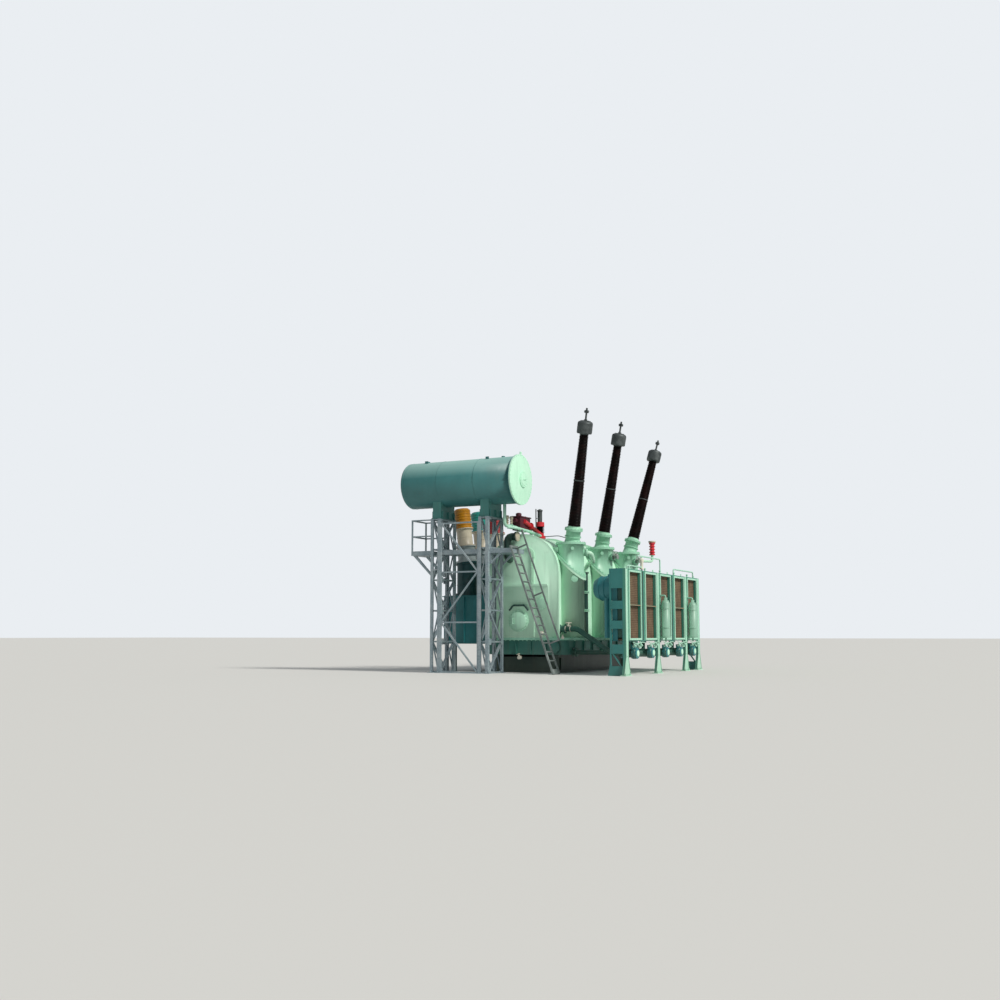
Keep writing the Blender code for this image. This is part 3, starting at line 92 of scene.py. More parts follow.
def new_object(name, builder, material):
    """Turn a bmesh into an object with sharp edges kept and round faces smooth."""
    mesh = bpy.data.meshes.new(name)
    bmesh.ops.recalc_face_normals(builder, faces=builder.faces)
    builder.to_mesh(mesh)
    builder.free()
    mesh.materials.append(material)
    mesh.shade_smooth()
    mesh.set_sharp_from_angle(angle=SHARP_EDGE)
    item = bpy.data.objects.new(name, mesh)
    bpy.context.scene.collection.objects.link(item)
    return item


# Power-floated concrete: a faint cloud of tone, about a metre across.
material, tree = new_material("floated_concrete")
cloud = add(tree, "ShaderNodeTexNoise", {"Scale": 0.8, "Detail": 6.0})
level = add(tree, "ShaderNodeMapRange", {"To Min": 0.97, "To Max": 1.0}, Value=(cloud, "Fac"))
tone = add(tree, "ShaderNodeMix", {"data_type": "RGBA", "blend_type": "MULTIPLY", 0: 1.0,
                                   6: linear(FLOOR_TONE)}, i7=(level, 0))
shader = add(tree, "ShaderNodeBsdfPrincipled", {"Roughness": 0.85}, Base_Color=(tone, 2))
add(tree, "ShaderNodeOutputMaterial", Surface=(shader, 0))
builder = bmesh.new()
bmesh.ops.create_grid(builder, x_segments=8, y_segments=8, size=FLOOR_HALF)
new_object("floor_slab", builder, material)

world = bpy.data.worlds.new("pale_surround")
bpy.context.scene.world = world
world.use_nodes = True
tree = world.node_tree
tree.nodes.clear()
rays = add(tree, "ShaderNodeLightPath")
level = add(tree, "ShaderNodeMapRange", {"To Min": SURROUND_LEVEL, "To Max": 1.0},
            Value=(rays, "Is Camera Ray"))
light = add(tree, "ShaderNodeBackground", {"Color": linear(SURROUND_TONE)}, Strength=(level, 0))
add(tree, "ShaderNodeOutputWorld", Surface=(light, 0))

key_lamp = bpy.data.lights.new("key", "SUN")
key_lamp.energy = KEY_LEVEL
key_lamp.angle = KEY_SPREAD
key_lamp.color = linear(KEY_TONE)[:3]
key = bpy.data.objects.new("key", key_lamp)
key.rotation_euler = KEY_TURN
bpy.context.scene.collection.objects.link(key)

lens = bpy.data.cameras.new("camera")
lens.lens = LENS_MM
lens.clip_end = FAR_CLIP
camera = bpy.data.objects.new("camera", lens)
camera.location = CAMERA_PLACE
camera.rotation_euler = CAMERA_TURN
bpy.context.scene.collection.objects.link(camera)
bpy.context.scene.camera = camera
bpy.context.scene.view_settings.view_transform = "Standard"

# Skid and lower tank. Two welded I-section bearers carry the shallow tub that the core and
# windings stand in. Both are heavy plate, grit-blasted and enamelled, drawn in dark greens as painted shade.
SHADED_TUB_GREEN = "#2E6E64"
SHADED_TUB_GREEN_FADED = "#3A7C71"
DEEP_SHADE_GREEN = "#133833"
DEEP_SHADE_GREEN_FADED = "#1B443D"
ROAD_DUST = "#8A8672"
RUST = "#7A4A2C"
TOP_LIGHT_TONE = "#A9CFC8"
CLOUD_MM = 700.0
RUN_MM = 110.0
RUN_STRETCH = 16.0
FRECKLE_MM = 30.0
PEEL_MM = 12.0
DUST_REACH = 0.9
HARD_EDGE = radians(40)
FLAT_ANGLE = radians(1)
MERGE_REACH = 0.00005


def enamel(name, tone, faded, grime="#5C5F4E", soil=0.35, rust=0.5, dusty=0.35, gloss=0.36, top_light=0.0):
    """Brushed and sprayed enamel on steel: clouds of fading, dirt runs, rust freckles, dust low down and,
    where asked, painted light on faces towards the sky.
    """
    material, tree = new_material(name)
    place = add(tree, "ShaderNodeTexCoord")
    cloud = add(tree, "ShaderNodeTexNoise", {"Scale": 1000 / CLOUD_MM, "Detail": 5.0},
                Vector=(place, "Object"))
    fading = add(tree, "ShaderNodeMapRange", {"From Min": 0.34, "From Max": 0.68}, Value=(cloud, "Fac"))
    body = add(tree, "ShaderNodeMix", {"data_type": "RGBA", 6: linear(tone), 7: linear(faded)},
               i0=(fading, 0))
    # Rain draws the dirt into long upright runs, a hand's breadth apart.
    across = 1000 / RUN_MM
    drawn = add(tree, "ShaderNodeMapping", {"Scale": (across, across, across / RUN_STRETCH)},
                Vector=(place, "Object"))
    runs = add(tree, "ShaderNodeTexNoise", {"Scale": 1.0, "Detail": 6.0, "Roughness": 0.6}, Vector=(drawn, 0))
    level = add(tree, "ShaderNodeMapRange", {"From Min": 0.52, "From Max": 0.8, "To Max": soil},
                Value=(runs, "Fac"))
    body = add(tree, "ShaderNodeMix", {"data_type": "RGBA", 7: linear(grime)}, i0=(level, 0), i6=(body, 2))
    # Rust starts at chips in the paint and stays in patches. Real chips are 2 to 5 mm, so these are coarser.
    chips = add(tree, "ShaderNodeTexNoise", {"Scale": 1000 / FRECKLE_MM, "Detail": 3.0},
                Vector=(place, "Object"))
    chip = add(tree, "ShaderNodeMapRange", {"From Min": 0.66, "From Max": 0.74}, Value=(chips, "Fac"))
    patch = add(tree, "ShaderNodeMapRange", {"From Min": 0.5, "From Max": 0.66, "To Max": rust},
                Value=(runs, "Fac"))
    level = add(tree, "ShaderNodeMath", {"operation": "MULTIPLY"}, i0=(chip, 0), i1=(patch, 0))
    body = add(tree, "ShaderNodeMix", {"data_type": "RGBA", 7: linear(RUST)}, i0=(level, 0), i6=(body, 2))
    height = add(tree, "ShaderNodeSeparateXYZ", Vector=(place, "Object"))
    low = add(tree, "ShaderNodeMapRange", {"From Max": DUST_REACH, "To Min": dusty, "To Max": 0.0},
              Value=(height, "Z"))
    level = add(tree, "ShaderNodeMath", {"operation": "MULTIPLY"}, i0=(low, 0), i1=(cloud, "Fac"))
    body = add(tree, "ShaderNodeMix", {"data_type": "RGBA", 7: linear(ROAD_DUST)}, i0=(level, 0),
               i6=(body, 2))
    # Faces towards the sky are drawn paler, a painted light from above.
    shape = add(tree, "ShaderNodeNewGeometry")
    height = add(tree, "ShaderNodeSeparateXYZ", Vector=(shape, "Normal"))
    level = add(tree, "ShaderNodeMapRange", {"From Min": 0.2, "From Max": 0.95, "To Max": top_light},
                Value=(height, "Z"))
    body = add(tree, "ShaderNodeMix", {"data_type": "RGBA", 7: linear(TOP_LIGHT_TONE)}, i0=(level, 0), i6=(body, 2))
    # Spray leaves an orange peel. The real one is 2 to 3 mm, drawn coarser here so that it shows.
    peel = add(tree, "ShaderNodeTexNoise", {"Scale": 1000 / PEEL_MM, "Detail": 2.0}, Vector=(place, "Object"))
    bump = add(tree, "ShaderNodeBump", {"Strength": 0.12, "Distance": 0.002}, Height=(peel, "Fac"))
    wear = add(tree, "ShaderNodeMapRange", {"To Min": gloss - 0.08, "To Max": gloss + 0.22},
               Value=(runs, "Fac"))
    shader = add(tree, "ShaderNodeBsdfPrincipled", Base_Color=(body, 2), Roughness=(wear, 0),
                 Normal=(bump, 0))
    add(tree, "ShaderNodeOutputMaterial", Surface=(shader, 0))
    return material


def dress(material, *names):
    """Give carried-over solids a finish."""
    for name in names:
        NODES[name].material_slots[0].material = material


def facing(place, axis):
    """Placing matrix whose local Z points along an axis."""
    return Matrix.Translation(Vector(place)) @ Vector(axis).to_track_quat("Z", "Y").to_matrix().to_4x4()


# Directions, the two common bolts as head radius and height, and how deep a welded part sinks in.
UP, DOWN = (0, 0, 1), (0, 0, -1)
FRONT, REAR = (0, -1, 0), (0, 1, 0)
NEAR, FAR = (-1, 0, 0), (1, 0, 0)
SMALL_BOLT = (0.011, 0.016)
MIDDLE_BOLT = (0.012, 0.018)
BITE = 0.002


def skin(builder, rings):
    """Closed skin over rings of equal point count."""
    loops = [[builder.verts.new(point) for point in ring] for ring in rings]
    for below, above in zip(loops, loops[1:]):
        for k in range(len(below)):
            after = (k + 1) % len(below)
            builder.faces.new((below[k], below[after], above[after], above[k]))
    builder.faces.new(loops[0])
    builder.faces.new(loops[-1])


def turn(builder, profile, sides, place):
    """Lathe (radius, height) points about the local Z of a placing matrix."""
    steps = [2 * pi * k / sides for k in range(sides)]
    skin(builder, [[place @ Vector((r * cos(a), r * sin(a), z)) for a in steps] for r, z in profile])


def rod(builder, start, end, radius, sides=10):
    run = Vector(end) - Vector(start)
    turn(builder, [(radius, 0.0), (radius, run.length)], sides, facing(start, run))


def sweep(builder, points, radius, sides=12):
    """Round bar or pipe along points."""
    points = [Vector(point) for point in points]
    side = None
    rings = []
    for k, point in enumerate(points):
        into = (point - points[max(k - 1, 0)]).normalized()
        out = (points[min(k + 1, len(points) - 1)] - point).normalized()
        along = (into + out).normalized()
        side = along.orthogonal() if side is None else side - along * side.dot(along)
        side.normalize()
        up = along.cross(side)
        angles = [2 * pi * n / sides for n in range(sides)]
        rings.append([point + radius * (cos(a) * side + sin(a) * up) for a in angles])
    skin(builder, rings)


def bent(corners, radius, steps=5):
    """Points of a pipe run whose corners are rounded to a bend radius."""
    corners = [Vector(corner) for corner in corners]
    points = [corners[0]]
    for before, corner, after in zip(corners, corners[1:], corners[2:]):
        start = corner + (before - corner).normalized() * radius
        end = corner + (after - corner).normalized() * radius
        for k in range(steps + 1):
            t = k / steps
            points.append(start * (1 - t) ** 2 + corner * 2 * t * (1 - t) + end * t ** 2)
    return points + [corners[-1]]


def block(builder, low, high, place=Matrix()):
    """Square-cut plate or bar between two corners."""
    plan = [(low[0], low[1]), (high[0], low[1]), (high[0], high[1]), (low[0], high[1])]
    skin(builder, [[place @ Vector((x, y, z)) for x, y in plan] for z in (low[2], high[2])])


def hexagon(builder, place, size, height):
    """Hexagon head with a chamfered top on a round washer."""
    washer = height * 0.22
    turn(builder, [(size * 1.25, 0.0), (size * 1.25, washer)], 10, place)
    turn(builder, [(size, washer), (size, height * 0.85), (size * 0.8, height)], 6, place)


def bolt_circle(builder, place, radius, count, size, height, lift=0.0):
    """Ring of hexagon heads, raised along the local Z by lift."""
    for k in range(count):
        angle = 2 * pi * (k + 0.5) / count
        spot = Matrix.Translation((radius * cos(angle), radius * sin(angle), lift))
        hexagon(builder, place @ spot, size, height)


def fit(name, builder, material, slot, *solids):
    """Finish a piece: it rides on the one body and may stand for solids; the slot is not used."""
    piece = new_object(name, builder, material)
    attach(piece, "root")
    if solids:
        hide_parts(*solids)
    return piece


def rounded(material, slot, *names, limit=HARD_EDGE):
    """Visible skins for faceted solids: flat triangles joined, only the hard edges kept crisp."""
    for name in names:
        builder = bmesh.new()
        builder.from_mesh(NODES[name].data)
        builder.transform(NODES[name].matrix_world)
        bmesh.ops.remove_doubles(builder, verts=builder.verts, dist=MERGE_REACH)
        bmesh.ops.join_triangles(builder, faces=builder.faces, angle_face_threshold=FLAT_ANGLE,
                                 angle_shape_threshold=pi)
        fit(name + "_skin", builder, material, slot, name).data.set_sharp_from_angle(angle=limit)


# Painted shade: the tub's and the skid's greens are the tank's paint darkened to stand for shade.
shaded_tub_green = enamel("shaded_tub_green_enamel", SHADED_TUB_GREEN, SHADED_TUB_GREEN_FADED, soil=0.4, rust=0.7, dusty=0.5)
deep_shade_green = enamel("deep_shade_green_enamel", DEEP_SHADE_GREEN, DEEP_SHADE_GREEN_FADED, soil=0.5, rust=0.8, dusty=0.4)
dress(deep_shade_green, "skid")
rounded(shaded_tub_green, "dark_green_enamel", "lower_tank")

# Stiffening flats welded on the tub, and the blank flange of the drain at its front corner.
STIFFENER = (0.055, 0.014)
STIFFENER_PITCH = 0.78
tub_low, tub_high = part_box("lower_tank")
builder = bmesh.new()
reach, thick = STIFFENER
bottom = tub_low[2] + 0.02
top = tub_high[2] - 0.03
for k in range(8):
    x = tub_low[0] + 0.62 + k * STIFFENER_PITCH
    block(builder, (x, tub_low[1] - reach, bottom), (x + thick, tub_low[1] + BITE, top))
    if x > 1.0:
        block(builder, (x, tub_high[1] - BITE, bottom), (x + thick, tub_high[1] + reach, top))
for y in (-0.9, -0.35, 0.2, 0.75):
    block(builder, (tub_low[0] - reach, y, bottom), (tub_low[0] + BITE, y + thick, top))
    block(builder, (tub_high[0] - BITE, y, bottom), (tub_high[0] + reach, y + thick, top))
fit("tub_stiffeners", builder, shaded_tub_green, "dark_green_enamel")

DRAIN_PLACE = (tub_low[0] - 0.002, -1.22, 0.84)
DRAIN_RADIUS = 0.2
builder = bmesh.new()
drain = facing(DRAIN_PLACE, NEAR)
profile = [(DRAIN_RADIUS - 0.05, 0.0), (DRAIN_RADIUS - 0.05, 0.05), (DRAIN_RADIUS, 0.05),
           (DRAIN_RADIUS, 0.075)]
profile += [(DRAIN_RADIUS - 0.006, 0.08), (DRAIN_RADIUS, 0.083), (DRAIN_RADIUS, 0.108),
            (DRAIN_RADIUS - 0.01, 0.113)]
turn(builder, profile, 32, drain)
bolt_circle(builder, drain, DRAIN_RADIUS - 0.028, 12, 0.013, 0.018, lift=0.113)
fit("drain_flange", builder, shaded_tub_green, "dark_green_enamel")

# Jacking gussets: thick plates welded to both sides of each bearer, near its ends.
GUSSET_THICK = 0.04
GUSSET_WIDTH = 0.115
GUSSET_LOW_Z, GUSSET_HIGH_Z = 0.1, 0.5
builder = bmesh.new()
skid_low, skid_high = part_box("skid")
for x in (skid_low[0] + 0.04, skid_low[0] + 0.24, skid_high[0] - 0.26, skid_high[0] - 0.06):
    for y in (-1.21, -1.005, 0.89, 1.095):
        block(builder, (x, y, GUSSET_LOW_Z), (x + GUSSET_THICK, y + GUSSET_WIDTH, GUSSET_HIGH_Z))
# The gussets take the skid's darkest green, which is painted shade.
fit("bearer_gussets", builder, deep_shade_green, "dark_green_enamel")

# Bell joint. The bell is lowered over the core and bolted to the tub through a thick welded rim,
# with hexagon bolts above and nuts below, zinc-plated and painted over with the tank.
PALE_GREEN = "#B4E0C6"
PALE_GREEN_FADED = "#C2EACF"
BOLT_PITCH = 0.16
BOLT_INSET = 0.045
BOLT_SIZE = 0.021
BOLT_HEIGHT = 0.028
LOBE_REACH = 0.5
pale_green = enamel("pale_green_enamel", PALE_GREEN, PALE_GREEN_FADED, grime="#6E8F7C", soil=0.28, rust=0.35)
rim_green = enamel("rim_green_enamel", "#83BDA5", "#91C9B1", grime="#5A6F60", soil=0.4, rust=0.6)
rounded(rim_green, "green_enamel", "bell_flange")
PHASE_X = (-2.65, 0.0, 2.65)
TURRET_Y = -1.43
TURRET_RADIUS = 0.45
BELL_TOP_Z = 1.16
BELL_RIM_Z = 1.08
builder = bmesh.new()


def rim_bolt(x, y):
    hexagon(builder, facing((x, y, BELL_TOP_Z), UP), BOLT_SIZE, BOLT_HEIGHT)
    if abs(y + 1.62) < 0.12 or abs(x) > 3.5 or y > 1.4:
        hexagon(builder, facing((x, y, BELL_RIM_Z), DOWN), BOLT_SIZE, BOLT_HEIGHT)


rim_low, rim_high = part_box("bell_flange")
front_y = -1.71 + BOLT_INSET
rear_y = rim_high[1] - BOLT_INSET
left_x = rim_low[0] + BOLT_INSET
right_x = rim_high[0] - BOLT_INSET
CORNER = 0.34
count = int((right_x - left_x - 2 * CORNER) / BOLT_PITCH)
for k in range(count + 1):
    x = left_x + CORNER + k * BOLT_PITCH
    if all(abs(x - phase) > LOBE_REACH + 0.1 for phase in PHASE_X):
        rim_bolt(x, front_y)
    if not -3.5 < x < 1.0:
        rim_bolt(x, rear_y)
count = int((rear_y - front_y - 2 * CORNER) / BOLT_PITCH)
for k in range(count + 1):
    y = front_y + CORNER + k * BOLT_PITCH
    rim_bolt(left_x, y)
    rim_bolt(right_x, y)
for x in PHASE_X:
    for k in range(9):
        angle = radians(200 + 17.5 * k)
        rim_bolt(x + LOBE_REACH * cos(angle), TURRET_Y + LOBE_REACH * sin(angle))
fit("rim_bolts", builder, rim_green, "green_enamel")

# Bell tank. A rolled half-round roof and flat sides in one welded shell, with a bulged end plate at each end
# and bars over the joints between the phases, sprayed in the pale green enamel, drawn a little lighter as
# painted sunlight.
sunlit_tank_green = enamel("sunlit_tank_green_enamel", "#BDEBD0", "#CAF3DA", grime="#6E8F7C", soil=0.28, rust=0.35)
rounded(sunlit_tank_green, "green_enamel", "main_tank", limit=radians(30))
SEAM_PROUD = 0.012
SPRING_Z = 3.33
BELL_RADIUS = 1.26
builder = bmesh.new()
for x in (-2.3, -0.45, 0.45, 2.3):
    points = [(x, -BELL_RADIUS, BELL_TOP_Z + 0.01)]
    points += [(x, -BELL_RADIUS * cos(pi * k / 24),
                SPRING_Z + BELL_RADIUS * sin(pi * k / 24)) for k in range(25)]
    points += [(x, BELL_RADIUS, BELL_TOP_Z + 0.01)]
    sweep(builder, points, SEAM_PROUD, 6)
fit("shell_weld_seams", builder, sunlit_tank_green, "green_enamel")

# Lifting lugs on the roof: a thick plate with an eye boss on a welded pad, on each side of the bell.
LUG_PLATE = 0.035
LUG_BOSS = 0.028
builder = bmesh.new()
for x in (-2.95, -0.95, 0.95, 2.95):
    for side in (-1, 1):
        angle = radians(38)
        foot = Vector((x, side * BELL_RADIUS * cos(angle), SPRING_Z + BELL_RADIUS * sin(angle)))
        out = Vector((0, side * cos(angle), sin(angle)))
        lug = facing(foot, out)
        block(builder, (-0.07, -0.13, -0.02), (0.07, 0.13, 0.014), lug)
        block(builder, (-LUG_PLATE / 2, -0.1, 0.0), (LUG_PLATE / 2, 0.1, 0.07), lug)
        eye = foot + out * 0.085
        rod(builder, eye - Vector((LUG_BOSS, 0, 0)), eye + Vector((LUG_BOSS, 0, 0)), 0.055, 20)
fit("lifting_lugs", builder, sunlit_tank_green, "green_enamel")

# Trapezoid hood over the manhole and thin conduits up the near end plate, strapped to short studs.
END_PLATE_X = -3.588
HOOD_X = -3.66
HOOD_Z = 2.24
builder = bmesh.new()
hood = [(0.40, HOOD_Z - 0.17), (0.26, HOOD_Z), (-0.16, HOOD_Z), (-0.30, HOOD_Z - 0.17)]
sweep(builder, bent([(HOOD_X, y, z) for y, z in hood], 0.05), 0.032, 10)
for y in (0.22, -0.12):
    rod(builder, (HOOD_X + 0.07, y, HOOD_Z), (HOOD_X - 0.01, y, HOOD_Z), 0.028)
# The hood takes the skid's dark green, which is painted shade over the manhole.
fit("manhole_davit", builder, deep_shade_green, "dark_green_enamel")

CONDUIT_RADIUS = 0.013
CONDUIT_X = -3.615
builder = bmesh.new()
for y, low, high in ((-0.42, 2.96, 4.05), (-0.50, 1.20, 4.05), (0.78, 1.20, 3.6)):
    points = bent([(CONDUIT_X, y, low), (CONDUIT_X, y, high), (CONDUIT_X, y * 0.55, high + 0.16)], 0.08)
    sweep(builder, points, CONDUIT_RADIUS, 8)
    for z in (low + 0.15, (low + high) / 2, high - 0.2):
        block(builder, (CONDUIT_X - 0.015, y - 0.025, z - 0.012), (END_PLATE_X, y + 0.025, z + 0.012))
fit("end_conduits", builder, sunlit_tank_green, "green_enamel")

# Manholes. Two dished steel covers on welded pads, each closed by a ring of hexagon bolts.
# The second, smaller one is a blank inspection cover beside the ladder.
cover_green = enamel("cover_green_enamel", "#A8DABE", "#B4E4C9", grime="#53705F", soil=0.45, rust=0.5)
rounded(cover_green, "green_enamel", "manhole_cover")
cover_low, cover_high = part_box("manhole_cover")
builder = bmesh.new()
cover_y = (cover_low[1] + cover_high[1]) / 2
cover_z = (cover_low[2] + cover_high[2]) / 2
manhole = facing((cover_low[0] + 0.03, cover_y, cover_z), NEAR)
bolt_circle(builder, manhole, 0.337, 20, 0.016, 0.024)
turn(builder, [(0.3, 0.0), (0.3, 0.032), (0.26, 0.05), (0.1, 0.062)], 40, manhole)
for y in (-0.09, 0.09):
    rod(builder, manhole @ Vector((-0.16, y, 0.05)), manhole @ Vector((-0.16, y, 0.11)), 0.009)
rod(builder, manhole @ Vector((-0.16, -0.1, 0.11)), manhole @ Vector((-0.16, 0.1, 0.11)), 0.011)
fit("manhole_fixings", builder, cover_green, "green_enamel")

builder = bmesh.new()
inspection = facing((END_PLATE_X, -0.78, 2.28), NEAR)
turn(builder, [(0.2, 0.0), (0.2, 0.022), (0.205, 0.026), (0.205, 0.046), (0.198, 0.05)], 32, inspection)
bolt_circle(builder, inspection, 0.175, 12, 0.013, 0.018, lift=0.05)
fit("inspection_cover", builder, cover_green, "green_enamel")

# High-voltage turrets. Rolled cylinders welded to the bell as half-round bays and, above a slanted
# bolted joint, closed by a thick cover with the bushing's tilted neck, a side port and trunnions.
turret_green = enamel("turret_green_enamel", "#90C7AA", "#9ED3B7", grime="#5F8571", soil=0.35, rust=0.4)
for n in (1, 2, 3):
    rounded(pale_green, "green_enamel", f"hv_turret_lower_{n}")
    rounded(turret_green, "green_enamel", f"hv_turret_upper_{n}")
JOINT_Z = 3.63
JOINT_SLOPE = 0.93
JOINT_FLANGE = 0.07
COVER_Z = 4.36
TURRET_LIP = 0.07
NECK_RADIUS = 0.25
NECK_HEIGHT = 0.49
NECK_FLANGE = 0.06
LEAN = radians(11.45)
FAN = (radians(-10.07), radians(-3.03), radians(11.32))
FOOT_SHIFT = (0.0, 0.0, 0.2)
PORT_Z = 4.02
PORT_TURN = (radians(-67.5), radians(-97.5), radians(-112.5))
slope_up = Vector((0, -JOINT_SLOPE, 1)).normalized()
bushing_feet = []
ports = []
builder = bmesh.new()
for n, x in enumerate(PHASE_X):
    # Studs through the slanted joint, each square to it, only where they clear the bell.
    for k in range(28):
        angle = 2 * pi * (k + 0.5) / 28
        reach = TURRET_RADIUS + TURRET_LIP * 0.5
        y = TURRET_Y + reach * sin(angle)
        if y < -1.36:
            top = Vector((x + reach * cos(angle), y, JOINT_Z + JOINT_FLANGE + JOINT_SLOPE * (y - TURRET_Y)))
            hexagon(builder, facing(top, slope_up), 0.017, 0.026)
            hexagon(builder, facing(top - Vector((0, 0, 2 * JOINT_FLANGE)), -slope_up), 0.017, 0.026)
    cover = facing((x, TURRET_Y, COVER_Z), UP)
    bolt_circle(builder, cover, TURRET_RADIUS + 0.035, 24, 0.016, 0.025)
    seat = Vector((x + FOOT_SHIFT[n], TURRET_Y - 0.06, COVER_Z))
    tilt = Euler((LEAN, FAN[n], 0.0)).to_matrix().to_4x4()
    bushing_feet.append((seat, tilt))
    neck = Matrix.Translation(seat) @ tilt
    # The neck's own flange, a welded saddle below it and the studs of the bushing's foot.
    bolt_circle(builder, neck, NECK_RADIUS + 0.037, 16, 0.014, 0.03, lift=NECK_HEIGHT)
    under = neck @ Matrix.Translation((0, 0, NECK_HEIGHT - NECK_FLANGE)) @ Matrix.Rotation(pi, 4, "X")
    bolt_circle(builder, under, NECK_RADIUS + 0.037, 16, 0.014, 0.02)
    turn(builder, [(NECK_RADIUS + 0.03, 0.2), (NECK_RADIUS + 0.03, 0.235)], 40, neck)
    port = Vector((cos(PORT_TURN[n]), sin(PORT_TURN[n]), 0))
    face = Vector((x, TURRET_Y, PORT_Z)) + port * (TURRET_RADIUS + 0.1)
    ports.append((face, port))
    bolt_circle(builder, facing(face, port), 0.125, 8, *SMALL_BOLT)
    for angle in (radians(-150), radians(-30)):
        out = Vector((cos(angle), sin(angle), 0))
        root = Vector((x, TURRET_Y, COVER_Z - 0.22)) + out * (TURRET_RADIUS - 0.01)
        rod(builder, root, root + out * 0.09, 0.035, 14)
        turn(builder, [(0.055, 0.0), (0.055, 0.012)], 16, facing(root + out * 0.08, out))
fit("turret_bolts", builder, turret_green, "green_enamel")

# A small hand hole with a bolted cover on every turret's outer side.
builder = bmesh.new()
for n, x in enumerate(PHASE_X):
    out = Vector((cos(radians(-142)), sin(radians(-142)), 0))
    face = Vector((x, TURRET_Y, 3.12 - 0.25 * (n == 1))) + out * (TURRET_RADIUS - 0.012)
    hand = facing(face, out)
    turn(builder, [(0.11, 0.0), (0.11, 0.028), (0.12, 0.028), (0.12, 0.046), (0.112, 0.05)], 24, hand)
    bolt_circle(builder, hand, 0.098, 8, 0.009, 0.013, lift=0.05)
fit("turret_hand_holes", builder, turret_green, "green_enamel")

# Cast aluminium valve bodies on the side ports, with a handwheel each, left in bare grey metal.
SAND_MM = 6.0


def sand_cast(name, tone, worn, patch, detail, smooth, relief, metal):
    """Sand casting leaves a pebbled skin, about 1 mm grit, drawn at 6 mm so that it shows."""
    material, tree = new_material(name)
    place = add(tree, "ShaderNodeTexCoord")
    grit = add(tree, "ShaderNodeTexNoise", {"Scale": 1000 / SAND_MM, "Detail": 3.0}, Vector=(place, "Object"))
    patina = add(tree, "ShaderNodeTexNoise", {"Scale": patch, "Detail": detail}, Vector=(place, "Object"))
    level = add(tree, "ShaderNodeMapRange", {"From Min": 0.35, "From Max": 0.7}, Value=(patina, "Fac"))
    body = add(tree, "ShaderNodeMix", {"data_type": "RGBA", 6: linear(tone), 7: linear(worn)}, i0=(level, 0))
    wear = add(tree, "ShaderNodeMapRange", {"To Min": smooth, "To Max": smooth + 0.28}, Value=(patina, "Fac"))
    bump = add(tree, "ShaderNodeBump", {"Strength": relief, "Distance": 0.001}, Height=(grit, "Fac"))
    shader = add(tree, "ShaderNodeBsdfPrincipled", {"Metallic": metal}, Base_Color=(body, 2),
                 Roughness=(wear, 0), Normal=(bump, 0))
    add(tree, "ShaderNodeOutputMaterial", Surface=(shader, 0))
    return material


def valve(builder, place, axis, up, size):
    """Flanged gate valve: body between two flanges, bonnet, stem and handwheel."""
    body = [(1.0, 0.0), (1.0, 0.18), (0.62, 0.2), (0.62, 0.5), (0.8, 0.75), (0.8, 1.15), (0.62, 1.4),
            (0.62, 1.7), (1.0, 1.72), (1.0, 1.9)]
    bonnet = [(0.5, 0.0), (0.5, 1.0), (0.7, 1.05), (0.7, 1.25), (0.3, 1.3), (0.18, 2.1)]
    stem = facing(Vector(place) + Vector(axis).normalized() * size * 0.95, up)
    for profile, sides, seat in ((body, 18, facing(place, axis)), (bonnet, 14, stem)):
        turn(builder, [(r * size, z * size) for r, z in profile], sides, seat)
    wheel = [stem @ Vector((size * cos(pi * k / 8), size * sin(pi * k / 8), 2.0 * size)) for k in range(17)]
    sweep(builder, wheel, 0.12 * size, 8)
    for k in range(3):
        arm = Vector((size * cos(pi * k / 3), size * sin(pi * k / 3), 2.0 * size))
        rod(builder, stem @ Vector((-arm.x, -arm.y, arm.z)), stem @ arm, 0.08 * size, 6)


cast_metal = sand_cast("cast_valve_metal", "#A5ADA8", "#98A39D", patch=9.0, detail=4.0, smooth=0.42,
                       relief=0.3, metal=0.6)
builder = bmesh.new()
for face, port in ports[1:]:
    valve(builder, face, port, (-0.6, -0.2, 0.5), 0.09)
fit("port_valves", builder, cast_metal, "cast_aluminium")

# Drop pipe from the first turret's port: a pale bend above, then a vertical leg with flanges drawn dark as
# painted shade.
DROP_X = -1.42
DROP_Y = -1.43
DROP_TOP_Z = 3.42
start, port = ports[0]
knee = start + port * 0.14
builder = bmesh.new()
run = bent([start, knee, knee + Vector((0.25, 0.02, -0.28)), (DROP_X, DROP_Y - 0.14, 3.72),
            (DROP_X, DROP_Y, 3.5), (DROP_X, DROP_Y, DROP_TOP_Z)], 0.12)
sweep(builder, run, 0.075, 16)
for flange in (facing(start, port), facing((DROP_X, DROP_Y, DROP_TOP_Z), UP)):
    turn(builder, [(0.13, 0.0), (0.13, 0.03)], 24, flange)
fit("drop_pipe_bend", builder, pale_green, "green_enamel")
builder = bmesh.new()
turn(builder, [(0.14, 0.0), (0.14, 0.035), (0.1, 0.036), (0.1, 1.5), (0.14, 1.5), (0.14, 1.57), (0.1, 1.57),
               (0.1, 2.2), (0.14, 2.2), (0.14, 2.24)], 24, facing((DROP_X, DROP_Y, DROP_TOP_Z - 2.24), UP))
for z in (1.6, 2.5, 3.1):
    block(builder, (DROP_X - 0.11, DROP_Y, z), (DROP_X + 0.11, -1.255, z + 0.05))
fit("drop_pipe_leg", builder, deep_shade_green, "dark_green_enamel")
builder = bmesh.new()
for z in (2.05, 2.68):
    band = facing((DROP_X, DROP_Y, z), UP)
    turn(builder, [(0.145, 0.0), (0.145, 0.03), (0.115, 0.032), (0.115, 0.05), (0.145, 0.052), (0.145, 0.08)],
         24, band)
    bolt_circle(builder, band, 0.128, 8, 0.01, 0.014, lift=0.08)
fit("drop_pipe_joints", builder, turret_green, "green_enamel")

